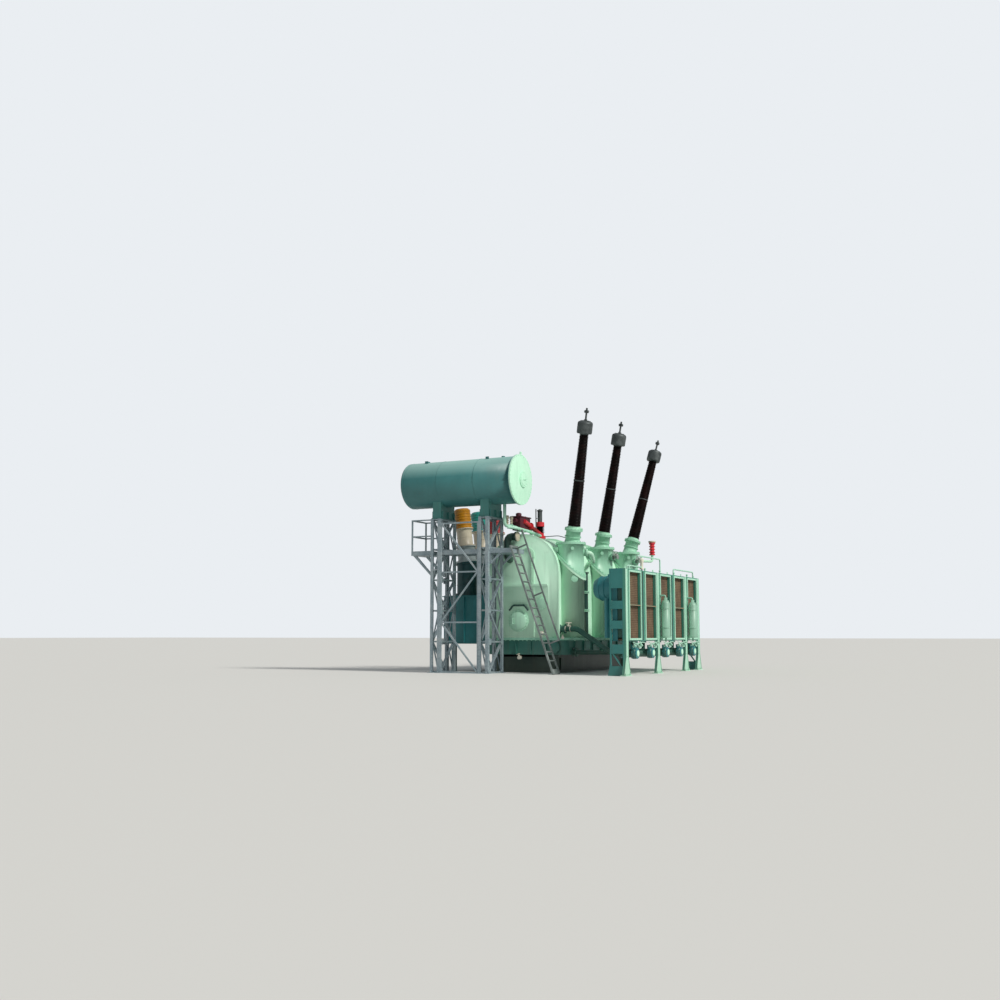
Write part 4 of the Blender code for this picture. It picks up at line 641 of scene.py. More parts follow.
# High-voltage bushings. Two hollow porcelain bodies in brown glaze, thrown with fine sheds and
# joined half way by a short band, on an aluminium foot and under a cast expansion head.
GLAZE = "#0B0606"
GLAZE_THIN = "#200C0C"
GLAZE_MM = 240.0
PORCELAIN_LENGTH = 3.22
FOOT_HEIGHT = 0.1
BASE_RADIUS = 0.22
TIP_RADIUS = 0.155
SHED_DEPTH = 0.022
SHED_PITCH = 0.05
JOINT_BAND = 0.1
material, tree = new_material("brown_glazed_porcelain")
# Fired glaze pools unevenly: nearly black where thick, red-brown where it thins, under a glassy coat.
place = add(tree, "ShaderNodeTexCoord")
pool = add(tree, "ShaderNodeTexNoise", {"Scale": 1000 / GLAZE_MM, "Detail": 5.0}, Vector=(place, "Object"))
level = add(tree, "ShaderNodeMapRange", {"From Min": 0.4, "From Max": 0.75}, Value=(pool, "Fac"))
tone = add(tree, "ShaderNodeMix", {"data_type": "RGBA", 6: linear(GLAZE), 7: linear(GLAZE_THIN)},
           i0=(level, 0))
wear = add(tree, "ShaderNodeMapRange", {"To Min": 0.3, "To Max": 0.55}, Value=(pool, "Fac"))
shader = add(tree, "ShaderNodeBsdfPrincipled", {"IOR": 1.5, "Specular IOR Level": 0.12}, Base_Color=(tone, 2),
             Roughness=(wear, 0))
add(tree, "ShaderNodeOutputMaterial", Surface=(shader, 0))
glazed = material

# The heads are cast in sand like the valves, then dulled by weather to a dark grey-green.
cast_head = sand_cast("grey_cast_head", "#434A4B", "#5C6364", patch=6.0, detail=6.0, smooth=0.38, relief=0.2,
                      metal=0.45)

CAP_RADIUS = 0.26
CAP_HEIGHT = 0.47
STUD_RADIUS = 0.032
STUD_LENGTH = 0.42
for n, (seat, tilt) in enumerate(bushing_feet):
    foot = Matrix.Translation(seat) @ tilt @ Matrix.Translation((0, 0, NECK_HEIGHT))
    builder = bmesh.new()
    span = PORCELAIN_LENGTH - FOOT_HEIGHT
    sheds = int(span / SHED_PITCH)
    profile = [(BASE_RADIUS - SHED_DEPTH, FOOT_HEIGHT)]
    for k in range(sheds):
        share = k / sheds
        tip = BASE_RADIUS + (TIP_RADIUS - BASE_RADIUS) * share
        z = FOOT_HEIGHT + span * share
        # Every second shed is a little shorter, and none stands on the band that joins the two bodies.
        if abs(z - FOOT_HEIGHT - span / 2) < JOINT_BAND / 2:
            profile += [(tip - 0.022, z), (tip - 0.022, z + SHED_PITCH * 0.9)]
            continue
        edge = tip - (0.007 if k % 2 else 0.0)
        profile += [(tip - SHED_DEPTH, z + 0.003), (edge - 0.004, z + 0.008), (edge, z + 0.013),
                    (edge - 0.001, z + 0.027), (edge - 0.006, z + 0.032), (tip - SHED_DEPTH, z + 0.045)]
    profile.append((TIP_RADIUS - SHED_DEPTH, PORCELAIN_LENGTH))
    turn(builder, profile, 40, foot)
    fit(f"porcelain_{n + 1}", builder, glazed, "brown_porcelain", f"hv_porcelain_{n + 1}")
    builder = bmesh.new()
    profile = [(BASE_RADIUS + 0.04, 0.0), (BASE_RADIUS + 0.04, 0.035), (BASE_RADIUS - 0.008, 0.045),
               (BASE_RADIUS - 0.008, 0.096), (BASE_RADIUS - 0.03, FOOT_HEIGHT + 0.004)]
    turn(builder, profile, 40, foot)
    bolt_circle(builder, foot, BASE_RADIUS + 0.016, 12, *MIDDLE_BOLT, lift=0.035)
    fit(f"porcelain_foot_{n + 1}", builder, cover_green, "green_enamel")
    builder = bmesh.new()
    head = foot @ Matrix.Translation((0, 0, PORCELAIN_LENGTH))
    r = CAP_RADIUS
    h = CAP_HEIGHT
    shares = [(0.6, 0.0), (0.6, 0.02), (0.93, 0.05), (0.985, 0.1), (0.996, 0.18), (0.996, 0.72), (0.982, 0.8),
              (0.93, 0.87), (0.8, 0.92), (0.45, 0.99), (0.3, 1.0)]
    profile = [(r * wide, h * high) for wide, high in shares]
    profile += [(STUD_RADIUS * 1.7, h), (STUD_RADIUS * 1.7, h + 0.035), (STUD_RADIUS, h + 0.04)]
    profile += [(STUD_RADIUS, h + STUD_LENGTH - 0.012), (STUD_RADIUS * 0.7, h + STUD_LENGTH)]
    turn(builder, profile, 44, head)
    bolt_circle(builder, head, r * 0.62, 10, *SMALL_BOLT, lift=h * 0.955)
    # Cemented band at the joint of the two porcelain bodies.
    middle = (FOOT_HEIGHT + PORCELAIN_LENGTH) / 2
    wide = (BASE_RADIUS + TIP_RADIUS) / 2 + 0.002
    turn(builder, [(wide - 0.02, middle - 0.018), (wide, middle - 0.014), (wide, middle + 0.014),
                   (wide - 0.02, middle + 0.018)], 40, foot)
    # Two-bolt terminal clamp round the stud.
    clamp = head @ Matrix.Translation((0, 0, h + STUD_LENGTH - 0.17))
    block(builder, (-0.055, -0.06, 0.0), (0.055, -0.012, 0.09), clamp)
    block(builder, (-0.055, 0.012, 0.0), (0.055, 0.06, 0.09), clamp)
    for x in (-0.043, 0.043):
        rod(builder, clamp @ Vector((x, -0.075, 0.045)), clamp @ Vector((x, 0.075, 0.045)), 0.009, 6)
    fit(f"expansion_head_{n + 1}", builder, cast_head, "cast_aluminium", f"hv_cap_{n + 1}")

# Low-voltage box and terminals. A ribbed steel box on the rear wall carries three turrets, and on
# each stands a leaning cast-resin bushing: grey skirt, cream housing and a head in the phase colour.
# Painted shade: the box and the low-voltage turrets are drawn in dark teals, the turrets darkest.
shaded_box_green = enamel("shaded_box_green_enamel", "#226C70", "#2C797D", soil=0.35, rust=0.5, dusty=0.4)
deep_shaded_turret_green = enamel("deep_shaded_turret_green_enamel", "#063B3F", "#0A4549", soil=0.1, rust=0.4)
dress(shaded_box_green, "lv_side_box")
box_low, box_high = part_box("lv_side_box")
BOX_BASE_Z = 0.95
RIB_PITCH = 0.6
builder = bmesh.new()
for k in range(7):
    x = box_low[0] + 0.3 + k * RIB_PITCH
    block(builder, (x, box_high[1] - BITE, BOX_BASE_Z + 0.05),
          (x + 0.016, box_high[1] + 0.06, box_high[2] - 0.04))
for k in range(3):
    y = box_low[1] + 0.42 + k * RIB_PITCH
    for x in (box_low[0] - 0.06, box_high[0] - BITE):
        block(builder, (x, y, BOX_BASE_Z + 0.05), (x + 0.062, y + 0.016, box_high[2] - 0.04))
for z in (BOX_BASE_Z + 0.01, box_high[2] - 0.05):
    block(builder, (box_low[0] - 0.05, box_low[1] + 0.26, z),
          (box_low[0] + BITE, box_high[1] - BITE, z + 0.03))
    block(builder, (box_high[0] - BITE, box_low[1] + 0.26, z),
          (box_high[0] + 0.05, box_high[1] - BITE, z + 0.03))
    block(builder, (box_low[0] - 0.05, box_high[1] - BITE, z),
          (box_high[0] + 0.05, box_high[1] + 0.05, z + 0.03))
fit("box_ribs", builder, shaded_box_green, "dark_green_enamel")

LV_FIRST_X = -2.9
LV_PITCH = 1.25
LV_Y = 2.43
LV_DECK_Z = 2.62
LV_LEAN = radians(7.0)
LV_TURRET_TOP = 1.16
SKIRT_GREY = "#7F8B8D"
HOUSING_CREAM = "#ADA593"
PHASE_TONES = (("amber", "#A06A06", "#B0790C", "yellow_enamel"),
               ("teal", "#1F7F77", "#2C9187", "phase_green_enamel"),
               ("maroon", "#8E2228", "#A23034", "red_enamel"))
RIB = ((0.0, 0.0), (0.014, 0.012), (0.014, 0.026), (0.0, 0.038))
skirt_grey = enamel("skirt_grey_enamel", SKIRT_GREY, "#9DA9AB", soil=0.3, rust=0.3)
housing_cream = enamel("housing_cream_enamel", HOUSING_CREAM, "#CBC2AD", grime="#9A8F74", soil=0.35, rust=0.3)
turrets = bmesh.new()
for n, (tint, tone, faded, slot) in enumerate(PHASE_TONES):
    rounded(deep_shaded_turret_green, "dark_green_enamel", f"lv_turret_{n + 1}")
    head_paint = enamel(f"phase_{tint}_enamel", tone, faded, soil=0.2, rust=0.2, gloss=0.28)
    x = LV_FIRST_X + n * LV_PITCH
    base = facing((x, LV_Y, LV_DECK_Z), UP)
    bolt_circle(turrets, base, 0.385, 20, *MIDDLE_BOLT, lift=0.06)
    seat = Matrix.Translation((x, LV_Y, LV_DECK_Z + LV_TURRET_TOP)) @ Matrix.Rotation(-LV_LEAN, 4, "X")
    for z in (LV_DECK_Z + 0.35, LV_DECK_Z + 0.8):
        turn(turrets, [(0.36, 0.0), (0.368, 0.004), (0.368, 0.016), (0.36, 0.02)], 48,
             facing((x, LV_Y, z), UP))
    out = Vector((-0.94, -0.34, 0))
    hatch = facing(Vector((x, LV_Y, LV_DECK_Z + 0.58)) + out * 0.35, out)
    turn(turrets, [(0.12, 0.0), (0.12, 0.03), (0.13, 0.03), (0.13, 0.048), (0.12, 0.052)], 24, hatch)
    bolt_circle(turrets, hatch, 0.107, 10, 0.009, 0.012, lift=0.052)
    # Skirt, housing and head are three flanged castings, bolted one on the other.
    builder = bmesh.new()
    turn(builder, [(0.41, 0.001), (0.41, 0.055), (0.404, 0.06), (0.33, 0.062), (0.312, 0.085), (0.312, 0.49),
                   (0.33, 0.52), (0.352, 0.54), (0.36, 0.542), (0.36, 0.568)], 56, seat)
    bolt_circle(builder, seat, 0.372, 18, *MIDDLE_BOLT, lift=0.06)
    fit(f"terminal_skirt_{n + 1}", builder, skirt_grey, "cast_aluminium", f"lv_bushing_{n + 1}")
    builder = bmesh.new()
    turn(builder, [(0.36, 0.57), (0.36, 0.598), (0.354, 0.602), (0.285, 0.605), (0.271, 0.625), (0.271, 0.88),
                   (0.278, 0.885), (0.278, 0.9), (0.271, 0.905), (0.271, 1.13), (0.285, 1.155), (0.33, 1.178),
                   (0.335, 1.182), (0.335, 1.208)], 56, seat)
    bolt_circle(builder, seat, 0.325, 18, *SMALL_BOLT, lift=0.602)
    fit(f"terminal_housing_{n + 1}", builder, housing_cream, slot)
    builder = bmesh.new()
    ribs = [(0.286 + out, 1.32 + 0.095 * k + up) for k in range(5) for out, up in RIB]
    turn(builder, [(0.335, 1.21), (0.335, 1.238), (0.33, 1.242), (0.3, 1.245), (0.286, 1.262), *ribs,
                   (0.286, 1.79), (0.292, 1.8), (0.292, 1.86),
                   (0.27, 1.885), (0.235, 1.9), (0.235, 1.92), (0.12, 1.92), (0.12, 1.9)], 56, seat)
    bolt_circle(builder, seat, 0.315, 18, *SMALL_BOLT, lift=1.242)
    bolt_circle(builder, seat, 0.25, 14, 0.01, 0.014, lift=1.888)
    fit(f"terminal_head_{n + 1}", builder, head_paint, slot)
fit("low_turret_fixings", turrets, deep_shaded_turret_green, "dark_green_enamel")

# Conservator. An oil drum of rolled sheet lies across the near end on two trestles, with a flanged and bolted
# disc and a hatch at the near end, in the tank's enamel; its side is drawn darker as painted shade with
# painted light on top, the disc lighter as painted sunlight.
shaded_drum_green = enamel("shaded_drum_green_enamel", "#346E6F", "#3C7879", grime="#3F625C", soil=0.3, rust=0.35,
                    top_light=0.7)
sunlit_disc_green = enamel("sunlit_disc_green_enamel", "#BDF0D3", "#C8F5DB", grime="#7BA38D", soil=0.22, rust=0.3)
# Painted shade: the saddles are drawn in a darker teal for the shade under the drum.
shaded_saddle_green = enamel("shaded_saddle_green_enamel", "#3F7D78", "#4A8A84", soil=0.4, rust=0.6)
rounded(shaded_drum_green, "green_enamel", "conservator_shell")
rounded(sunlit_disc_green, "green_enamel", "conservator_end_near", "conservator_hatch")
dress(shaded_saddle_green, "saddle_left", "saddle_right")
DRUM_X = -4.5
DRUM_Z = 6.37
DRUM_RADIUS = 0.79
DRUM_TOP_Z = DRUM_Z + DRUM_RADIUS
DRUM_NEAR_Y = -0.46
builder = bmesh.new()
for y in (0.95, 2.35, 3.6):
    seam = facing((DRUM_X, y, DRUM_Z), REAR)
    turn(builder, [(0.78, -0.012), (DRUM_RADIUS + 0.003, -0.008), (DRUM_RADIUS + 0.005, 0.0),
                   (DRUM_RADIUS + 0.003, 0.008), (0.78, 0.012)], 80, seam)
# Rear ring of the end joint, with the nuts that face along the drum.
turn(builder, [(0.785, 0.0), (0.842, 0.002), (0.842, 0.03), (0.785, 0.034)], 80,
     facing((DRUM_X, DRUM_NEAR_Y + 0.0506, DRUM_Z), REAR))
bolt_circle(builder, facing((DRUM_X, DRUM_NEAR_Y + 0.083, DRUM_Z), REAR), 0.818, 36, *MIDDLE_BOLT)
for y in (0.2, 3.1):
    rod(builder, (DRUM_X, y, DRUM_TOP_Z - 0.02), (DRUM_X, y, DRUM_TOP_Z + 0.04), 0.06, 20)
for y in (0.65, 3.0):
    for side in (-1, 1):
        lug = Matrix.Translation((DRUM_X + side * 0.3, y, DRUM_Z + 0.735))
        block(builder, (-0.012, -0.06, -0.03), (0.012, 0.06, 0.075), lug)
fit("drum_seams", builder, shaded_drum_green, "green_enamel")

builder = bmesh.new()
disc = facing((DRUM_X, DRUM_NEAR_Y - 0.001, DRUM_Z), FRONT)
bolt_circle(builder, disc, 0.818, 36, *MIDDLE_BOLT)
hatch = facing((DRUM_X, DRUM_NEAR_Y - 0.105, DRUM_Z), FRONT)
bolt_circle(builder, hatch, 0.243, 16, *SMALL_BOLT)
turn(builder, [(0.205, 0.0), (0.2, 0.012), (0.1, 0.02)], 40, hatch)
for x in (-0.07, 0.07):
    rod(builder, hatch @ Vector((x, 0, 0.01)), hatch @ Vector((x, 0, 0.055)), 0.008)
rod(builder, hatch @ Vector((-0.08, 0, 0.055)), hatch @ Vector((0.08, 0, 0.055)), 0.01)
# Lifting eye welded on the rim, on top.
block(builder, (DRUM_X - 0.05, DRUM_NEAR_Y - 0.004, DRUM_Z + 0.8),
      (DRUM_X + 0.05, DRUM_NEAR_Y + 0.03, DRUM_Z + 0.93))
rod(builder, (DRUM_X, DRUM_NEAR_Y - 0.012, DRUM_Z + 0.9), (DRUM_X, DRUM_NEAR_Y + 0.04, DRUM_Z + 0.9),
    0.022, 14)
fit("disc_fixings", builder, sunlit_disc_green, "green_enamel")

# Gussets, sole plates and holding-down bolts of the trestles' saddles.
builder = bmesh.new()
for name in ("saddle_left", "saddle_right"):
    low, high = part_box(name)
    for x in (low[0] + 0.06, (low[0] + high[0]) / 2 - 0.01, high[0] - 0.08):
        block(builder, (x, low[1] - 0.055, low[2] + 0.012), (x + 0.02, low[1] + BITE, low[2] + 0.26))
        block(builder, (x, high[1] - BITE, low[2] + 0.012), (x + 0.02, high[1] + 0.055, low[2] + 0.26))
    block(builder, (low[0], low[1] - 0.065, low[2] + 0.001), (high[0], high[1] + 0.065, low[2] + 0.02))
    for x in (low[0] + 0.03, high[0] - 0.03):
        for y in (low[1] - 0.04, high[1] + 0.04):
            hexagon(builder, facing((x, y, low[2] + 0.02), UP), 0.015, 0.022)
fit("trestle_gussets", builder, shaded_saddle_green, "dark_green_enamel")

# Towers and walkway. Hot-dip galvanised angle and flat, bolted through gusset plates on base plates,
# with a grated deck between and beside the towers, a handrail of tube and a steep ladder.
ZINC_CHALK = "#C4CBCB"
SPANGLE_MM = 22.0


def galvanised(name, bright, dull):
    """Zinc freezes in spangles of 10 to 20 mm, dulls to a chalky grey and stains with rust in patches."""
    material, tree = new_material(name)
    place = add(tree, "ShaderNodeTexCoord")
    flakes = add(tree, "ShaderNodeTexVoronoi", {"Scale": 1000 / SPANGLE_MM}, Vector=(place, "Object"))
    flake = add(tree, "ShaderNodeSeparateColor", Color=(flakes, "Color"))
    weather = add(tree, "ShaderNodeTexNoise", {"Scale": 2.2, "Detail": 6.0}, Vector=(place, "Object"))
    tone = add(tree, "ShaderNodeMix", {"data_type": "RGBA", 6: linear(bright), 7: linear(dull)},
               i0=(flake, 0))
    level = add(tree, "ShaderNodeMapRange", {"From Min": 0.45, "From Max": 0.75, "To Max": 0.5},
                Value=(weather, "Fac"))
    tone = add(tree, "ShaderNodeMix", {"data_type": "RGBA", 7: linear(ZINC_CHALK)}, i0=(level, 0),
               i6=(tone, 2))
    stain = add(tree, "ShaderNodeTexNoise", {"Scale": 14.0, "Detail": 5.0}, Vector=(place, "Object"))
    level = add(tree, "ShaderNodeMapRange", {"From Min": 0.66, "From Max": 0.8, "To Max": 0.45},
                Value=(stain, "Fac"))
    tone = add(tree, "ShaderNodeMix", {"data_type": "RGBA", 7: linear(RUST)}, i0=(level, 0), i6=(tone, 2))
    wear = add(tree, "ShaderNodeMapRange", {"To Min": 0.42, "To Max": 0.66}, Value=(weather, "Fac"))
    bump = add(tree, "ShaderNodeBump", {"Strength": 0.08, "Distance": 0.001}, Height=(flake, 1))
    shader = add(tree, "ShaderNodeBsdfPrincipled", {"Metallic": 0.3}, Base_Color=(tone, 2),
                 Roughness=(wear, 0), Normal=(bump, 0))
    add(tree, "ShaderNodeOutputMaterial", Surface=(shader, 0))
    return material


zinc = galvanised("galvanised_angle", "#9DAEB4", "#7B8C95")
old_zinc = galvanised("galvanised_ladder_tube", "#76827F", "#65716F")
dress(zinc, "tower_left", "tower_right", "tower_bracing", "deck_left", "deck_right", "deck_middle",
      "deck_handrail")
dress(old_zinc, "ladder", "ladder_handrail")

TOWER_X = (-5.05, -3.95)
TOWER_Y = (0.48, 2.30)
TOWER_DEPTH = 0.37
TOWER_HEIGHT = 5.15
TOWER_BAYS = 5
LEG = 0.105
GUSSET = 0.2
PLATE = 0.012
builder = bmesh.new()
for y0 in TOWER_Y:
    for face, outward in ((y0, -1), (y0 + TOWER_DEPTH, 1)):
        for k in range(TOWER_BAYS + 1):
            z = TOWER_HEIGHT * k / TOWER_BAYS
            low_z = max(z - GUSSET / 2, 0.03)
            high_z = min(z + GUSSET / 2, TOWER_HEIGHT - 0.01)
            for x0, x1 in ((TOWER_X[0] + 0.01, TOWER_X[0] + GUSSET),
                           (TOWER_X[1] - GUSSET, TOWER_X[1] - 0.01)):
                low_y, high_y = sorted((face - outward * 0.001, face + outward * PLATE))
                block(builder, (x0, low_y, low_z), (x1, high_y, high_z))
                for bolt_x in (x0 + 0.04, x1 - 0.04):
                    for bolt_z in (low_z + 0.04, high_z - 0.04):
                        place = (bolt_x, face + outward * PLATE, bolt_z)
                        hexagon(builder, facing(place, (0, outward, 0)), 0.011, 0.013)
    # Angle legs: a second flange stands behind each leg, along the narrow side.
    for x0, x1 in ((TOWER_X[0] - 0.008, TOWER_X[0] + 0.001), (TOWER_X[1] - 0.001, TOWER_X[1] + 0.008)):
        block(builder, (x0, y0 + 0.001, 0.02), (x1, y0 + LEG, TOWER_HEIGHT - 0.002))
        block(builder, (x0, y0 + TOWER_DEPTH - LEG, 0.02),
              (x1, y0 + TOWER_DEPTH - 0.001, TOWER_HEIGHT - 0.002))
    for x in (TOWER_X[0] + 0.05, TOWER_X[1] - 0.05):
        for y in (y0 + 0.05, y0 + TOWER_DEPTH - 0.05):
            block(builder, (x - 0.13, y - 0.11, 0.0), (x + 0.13, y + 0.11, 0.022))
            for side in (-1, 1):
                hexagon(builder, facing((x + side * 0.095, y, 0.022), UP), 0.018, 0.04)
fit("tower_gussets", builder, zinc, "galvanised_steel")

# Deck plate: bearing bars with twisted cross rods over the solid deck, and a kick flat round it.
builder = bmesh.new()
DECK_Z = 4.05
GRATE_PITCH = 0.06
for name in ("deck_right", "deck_middle", "deck_left"):
    low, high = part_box(name)
    y = low[1] + 0.02
    while y < high[1] - 0.02:
        block(builder, (low[0] + 0.01, y, DECK_Z - 0.004), (high[0] - 0.01, y + 0.006, DECK_Z + 0.022))
        y += GRATE_PITCH
    x = low[0] + 0.05
    while x < high[0] - 0.03:
        block(builder, (x, low[1] + 0.01, DECK_Z + 0.002), (x + 0.008, high[1] - 0.01, DECK_Z + 0.017))
        x += GRATE_PITCH * 1.6
    block(builder, (low[0] - 0.004, low[1], DECK_Z - 0.12), (low[0] + 0.004, high[1], DECK_Z + 0.03))
    block(builder, (high[0] - 0.004, low[1], DECK_Z - 0.12), (high[0] + 0.004, high[1], DECK_Z + 0.03))
fit("deck_grating", builder, zinc, "galvanised_steel")

# Cooler bank. Five forced-oil coolers stand side by side in a welded frame on flared feet. Each has
# a core of brown finned tubes in a rim drawn light as painted light, a sheet casing behind it and a round fan
# drum.
# Painted shade: the bank frame is drawn in a darker green.
shaded_frame_green = enamel("shaded_frame_green_enamel", "#3A8270", "#47917E", soil=0.35, rust=0.6, dusty=0.4)
# Painted shade: casings, fan drums and pump bodies are drawn in a dark teal.
shaded_casing_green = enamel("shaded_casing_green_enamel", "#28767C", "#328187", soil=0.3, rust=0.4)
# Painted shade: the end frames are drawn in a dark teal.
shaded_end_frame_green = enamel("shaded_end_frame_green_enamel", "#2C7673", "#36817E", soil=0.3, rust=0.5, dusty=0.15)
filter_green = enamel("filter_green_enamel", "#88B29D", "#95BDA9", soil=0.25, rust=0.3)
# Painted shade: the header, oil pipes and core side plates are drawn a near black-green.
shaded_header_green = enamel("shaded_header_green_enamel", "#1F5248", "#2A6155", soil=0.5, rust=0.8, dusty=0.6)
# Painted light: rims, column plates and small pipes take this lighter copy of the frame paint.
lit_paint_green = enamel("lit_paint_green_enamel", "#A4D6BE", "#B2E0CA", grime="#6E9480", soil=0.3, rust=0.4)
dress(shaded_frame_green, "bank_frame")
for n in range(1, 6):
    rounded(shaded_casing_green, "green_enamel", f"cooler_casing_{n}")
BANK_FRONT_Y = -4.33
BANK_TOP = 3.30
BANK_BOTTOM = 1.06
COOLER_START_X = -4.98
COOLER_WIDTH = 1.32
COOLER_PITCH = 1.46
WINDOW_INSET = 0.165
FRAME_BAR = 0.09
RIM_WIDTH = 0.055
RIM_PROUD = 0.03
CORE_BROWN = "#64503C"
CORE_DUST = "#7E6A52"
BAR_BROWN = "#8E7860"
FIN_MM = 9.0

material, tree = new_material("dipped_finned_tube")
# Steel tubes with wound fins, dipped in brown stoving paint. Fins sit 3 mm apart, drawn at 9 mm
# as fine level ridges, darker between them as painted shade and lighter on their crests as painted highlight,
# with dust in patches.
place = add(tree, "ShaderNodeTexCoord")
fins = add(tree, "ShaderNodeTexWave", {"Scale": 1000 / FIN_MM / 20, "bands_direction": "Z", "Distortion": 0.4,
                                       "Detail": 1.0}, Vector=(place, "Object"))
dust = add(tree, "ShaderNodeTexNoise", {"Scale": 3.4, "Detail": 6.0}, Vector=(place, "Object"))
level = add(tree, "ShaderNodeMapRange", {"From Min": 0.35, "From Max": 0.75}, Value=(dust, "Fac"))
tone = add(tree, "ShaderNodeMix", {"data_type": "RGBA", 6: linear(CORE_BROWN), 7: linear(CORE_DUST)},
           i0=(level, 0))
shade = add(tree, "ShaderNodeMapRange", {"To Min": 0.62, "To Max": 1.08}, Value=(fins, "Fac"))
tone = add(tree, "ShaderNodeMix", {"data_type": "RGBA", "blend_type": "MULTIPLY", 0: 1.0}, i6=(tone, 2),
           i7=(shade, 0))
bump = add(tree, "ShaderNodeBump", {"Strength": 0.6, "Distance": 0.004}, Height=(fins, "Fac"))
wear = add(tree, "ShaderNodeMapRange", {"To Min": 0.55, "To Max": 0.85}, Value=(dust, "Fac"))
shader = add(tree, "ShaderNodeBsdfPrincipled", Base_Color=(tone, 2), Roughness=(wear, 0), Normal=(bump, 0))
add(tree, "ShaderNodeOutputMaterial", Surface=(shader, 0))
finned = material

TUBE_RADIUS = 0.021
TUBE_PITCH = 0.05
TUBE_ROWS = 4
TANK_DEPTH = 0.09
for n in range(5):
    low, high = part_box(f"cooler_core_{n + 1}")
    builder = bmesh.new()
    rows = [low[1] + 0.03 + k * (high[1] - low[1] - 0.06) / (TUBE_ROWS - 1) for k in range(TUBE_ROWS)]
    for r, y in enumerate(rows):
        x = low[0] + 0.03 + (r % 2) * TUBE_PITCH / 2
        while x < high[0] - 0.03:
            profile = [(TUBE_RADIUS, low[2] + 0.02), (TUBE_RADIUS, high[2] - 0.02)]
            turn(builder, profile, 8, Matrix.Translation((x, y, 0)))
            x += TUBE_PITCH
    # Header tanks of the core above and below, and a plate behind the last row.
    block(builder, low, (high[0], high[1], low[2] + TANK_DEPTH))
    block(builder, (low[0], low[1], high[2] - TANK_DEPTH), high)
    block(builder, (low[0] + 0.01, high[1] - 0.01, low[2] + 0.05), (high[0] - 0.01, high[1], high[2] - 0.05))
    fit(f"tube_core_{n + 1}", builder, finned, "finned_tube", f"cooler_core_{n + 1}")
    # Side plates fold round the tube nest and carry a row of fixing bolts each.
    builder = bmesh.new()
    for x, out in ((low[0], -1), (high[0] - 0.012, 1)):
        block(builder, (x, low[1], low[2] + 0.05), (x + 0.012, high[1], high[2] - 0.05))
        for k in range(6):
            z = low[2] + 0.2 + k * (high[2] - low[2] - 0.4) / 5
            hexagon(builder, facing((x + (0.012 if out > 0 else 0.0), (low[1] + high[1]) / 2, z),
                                    (out, 0, 0)), 0.011, 0.012)
    fit(f"core_side_plates_{n + 1}", builder, shaded_header_green, "dark_green_enamel")

# Angle rims bolted round each core, over the front frame, drawn light as painted light, with a flat bar half
# way up.
builder = bmesh.new()
bars = bmesh.new()
y0 = BANK_FRONT_Y - RIM_PROUD
y1 = BANK_FRONT_Y + 0.001
middle = (BANK_BOTTOM + BANK_TOP) / 2
for n in range(5):
    x0 = COOLER_START_X + n * COOLER_PITCH + WINDOW_INSET
    x1 = x0 + COOLER_WIDTH - 2 * WINDOW_INSET
    z0 = BANK_BOTTOM + FRAME_BAR
    z1 = BANK_TOP - FRAME_BAR
    block(builder, (x0 - RIM_WIDTH, y0, z0 - RIM_WIDTH), (x0, y1, z1 + RIM_WIDTH))
    block(builder, (x1, y0, z0 - RIM_WIDTH), (x1 + RIM_WIDTH, y1, z1 + RIM_WIDTH))
    block(builder, (x0 - 0.001, y0, z0 - RIM_WIDTH), (x1 + 0.001, y1, z0))
    block(builder, (x0 - 0.001, y0, z1), (x1 + 0.001, y1, z1 + RIM_WIDTH))
    for k in range(11):
        z = z0 + (z1 - z0) * (k + 0.5) / 11
        for x in (x0 - RIM_WIDTH / 2, x1 + RIM_WIDTH / 2):
            hexagon(builder, facing((x, y0, z), FRONT), 0.01, 0.012)
    for k in range(5):
        x = x0 + (x1 - x0) * (k + 0.5) / 5
        for z in (z0 - RIM_WIDTH / 2, z1 + RIM_WIDTH / 2):
            hexagon(builder, facing((x, y0, z), FRONT), 0.01, 0.012)
    block(bars, (x0 - 0.001, y0 + 0.012, middle - 0.013), (x1 + 0.001, y1 + 0.08, middle + 0.013))
fit("core_rims", builder, lit_paint_green, "green_enamel")
bar_brown = enamel("core_bar_brown_enamel", BAR_BROWN, "#9A8468", grime="#5A4A38", soil=0.4, rust=0.4)
fit("core_middle_bars", bars, bar_brown, "finned_tube")

# Sheet strips close the gaps between the coolers, set back behind the rims, in the skid's dark green as
# painted shade.
builder = bmesh.new()
for n in range(1, 5):
    x = COOLER_START_X + n * COOLER_PITCH - (COOLER_PITCH - COOLER_WIDTH) / 2
    block(builder, (x - 0.05, BANK_FRONT_Y - 0.004, BANK_BOTTOM + 0.02), (x + 0.05, y1, BANK_TOP - 0.03))
fit("gap_strips", builder, deep_shade_green, "dark_green_enamel")

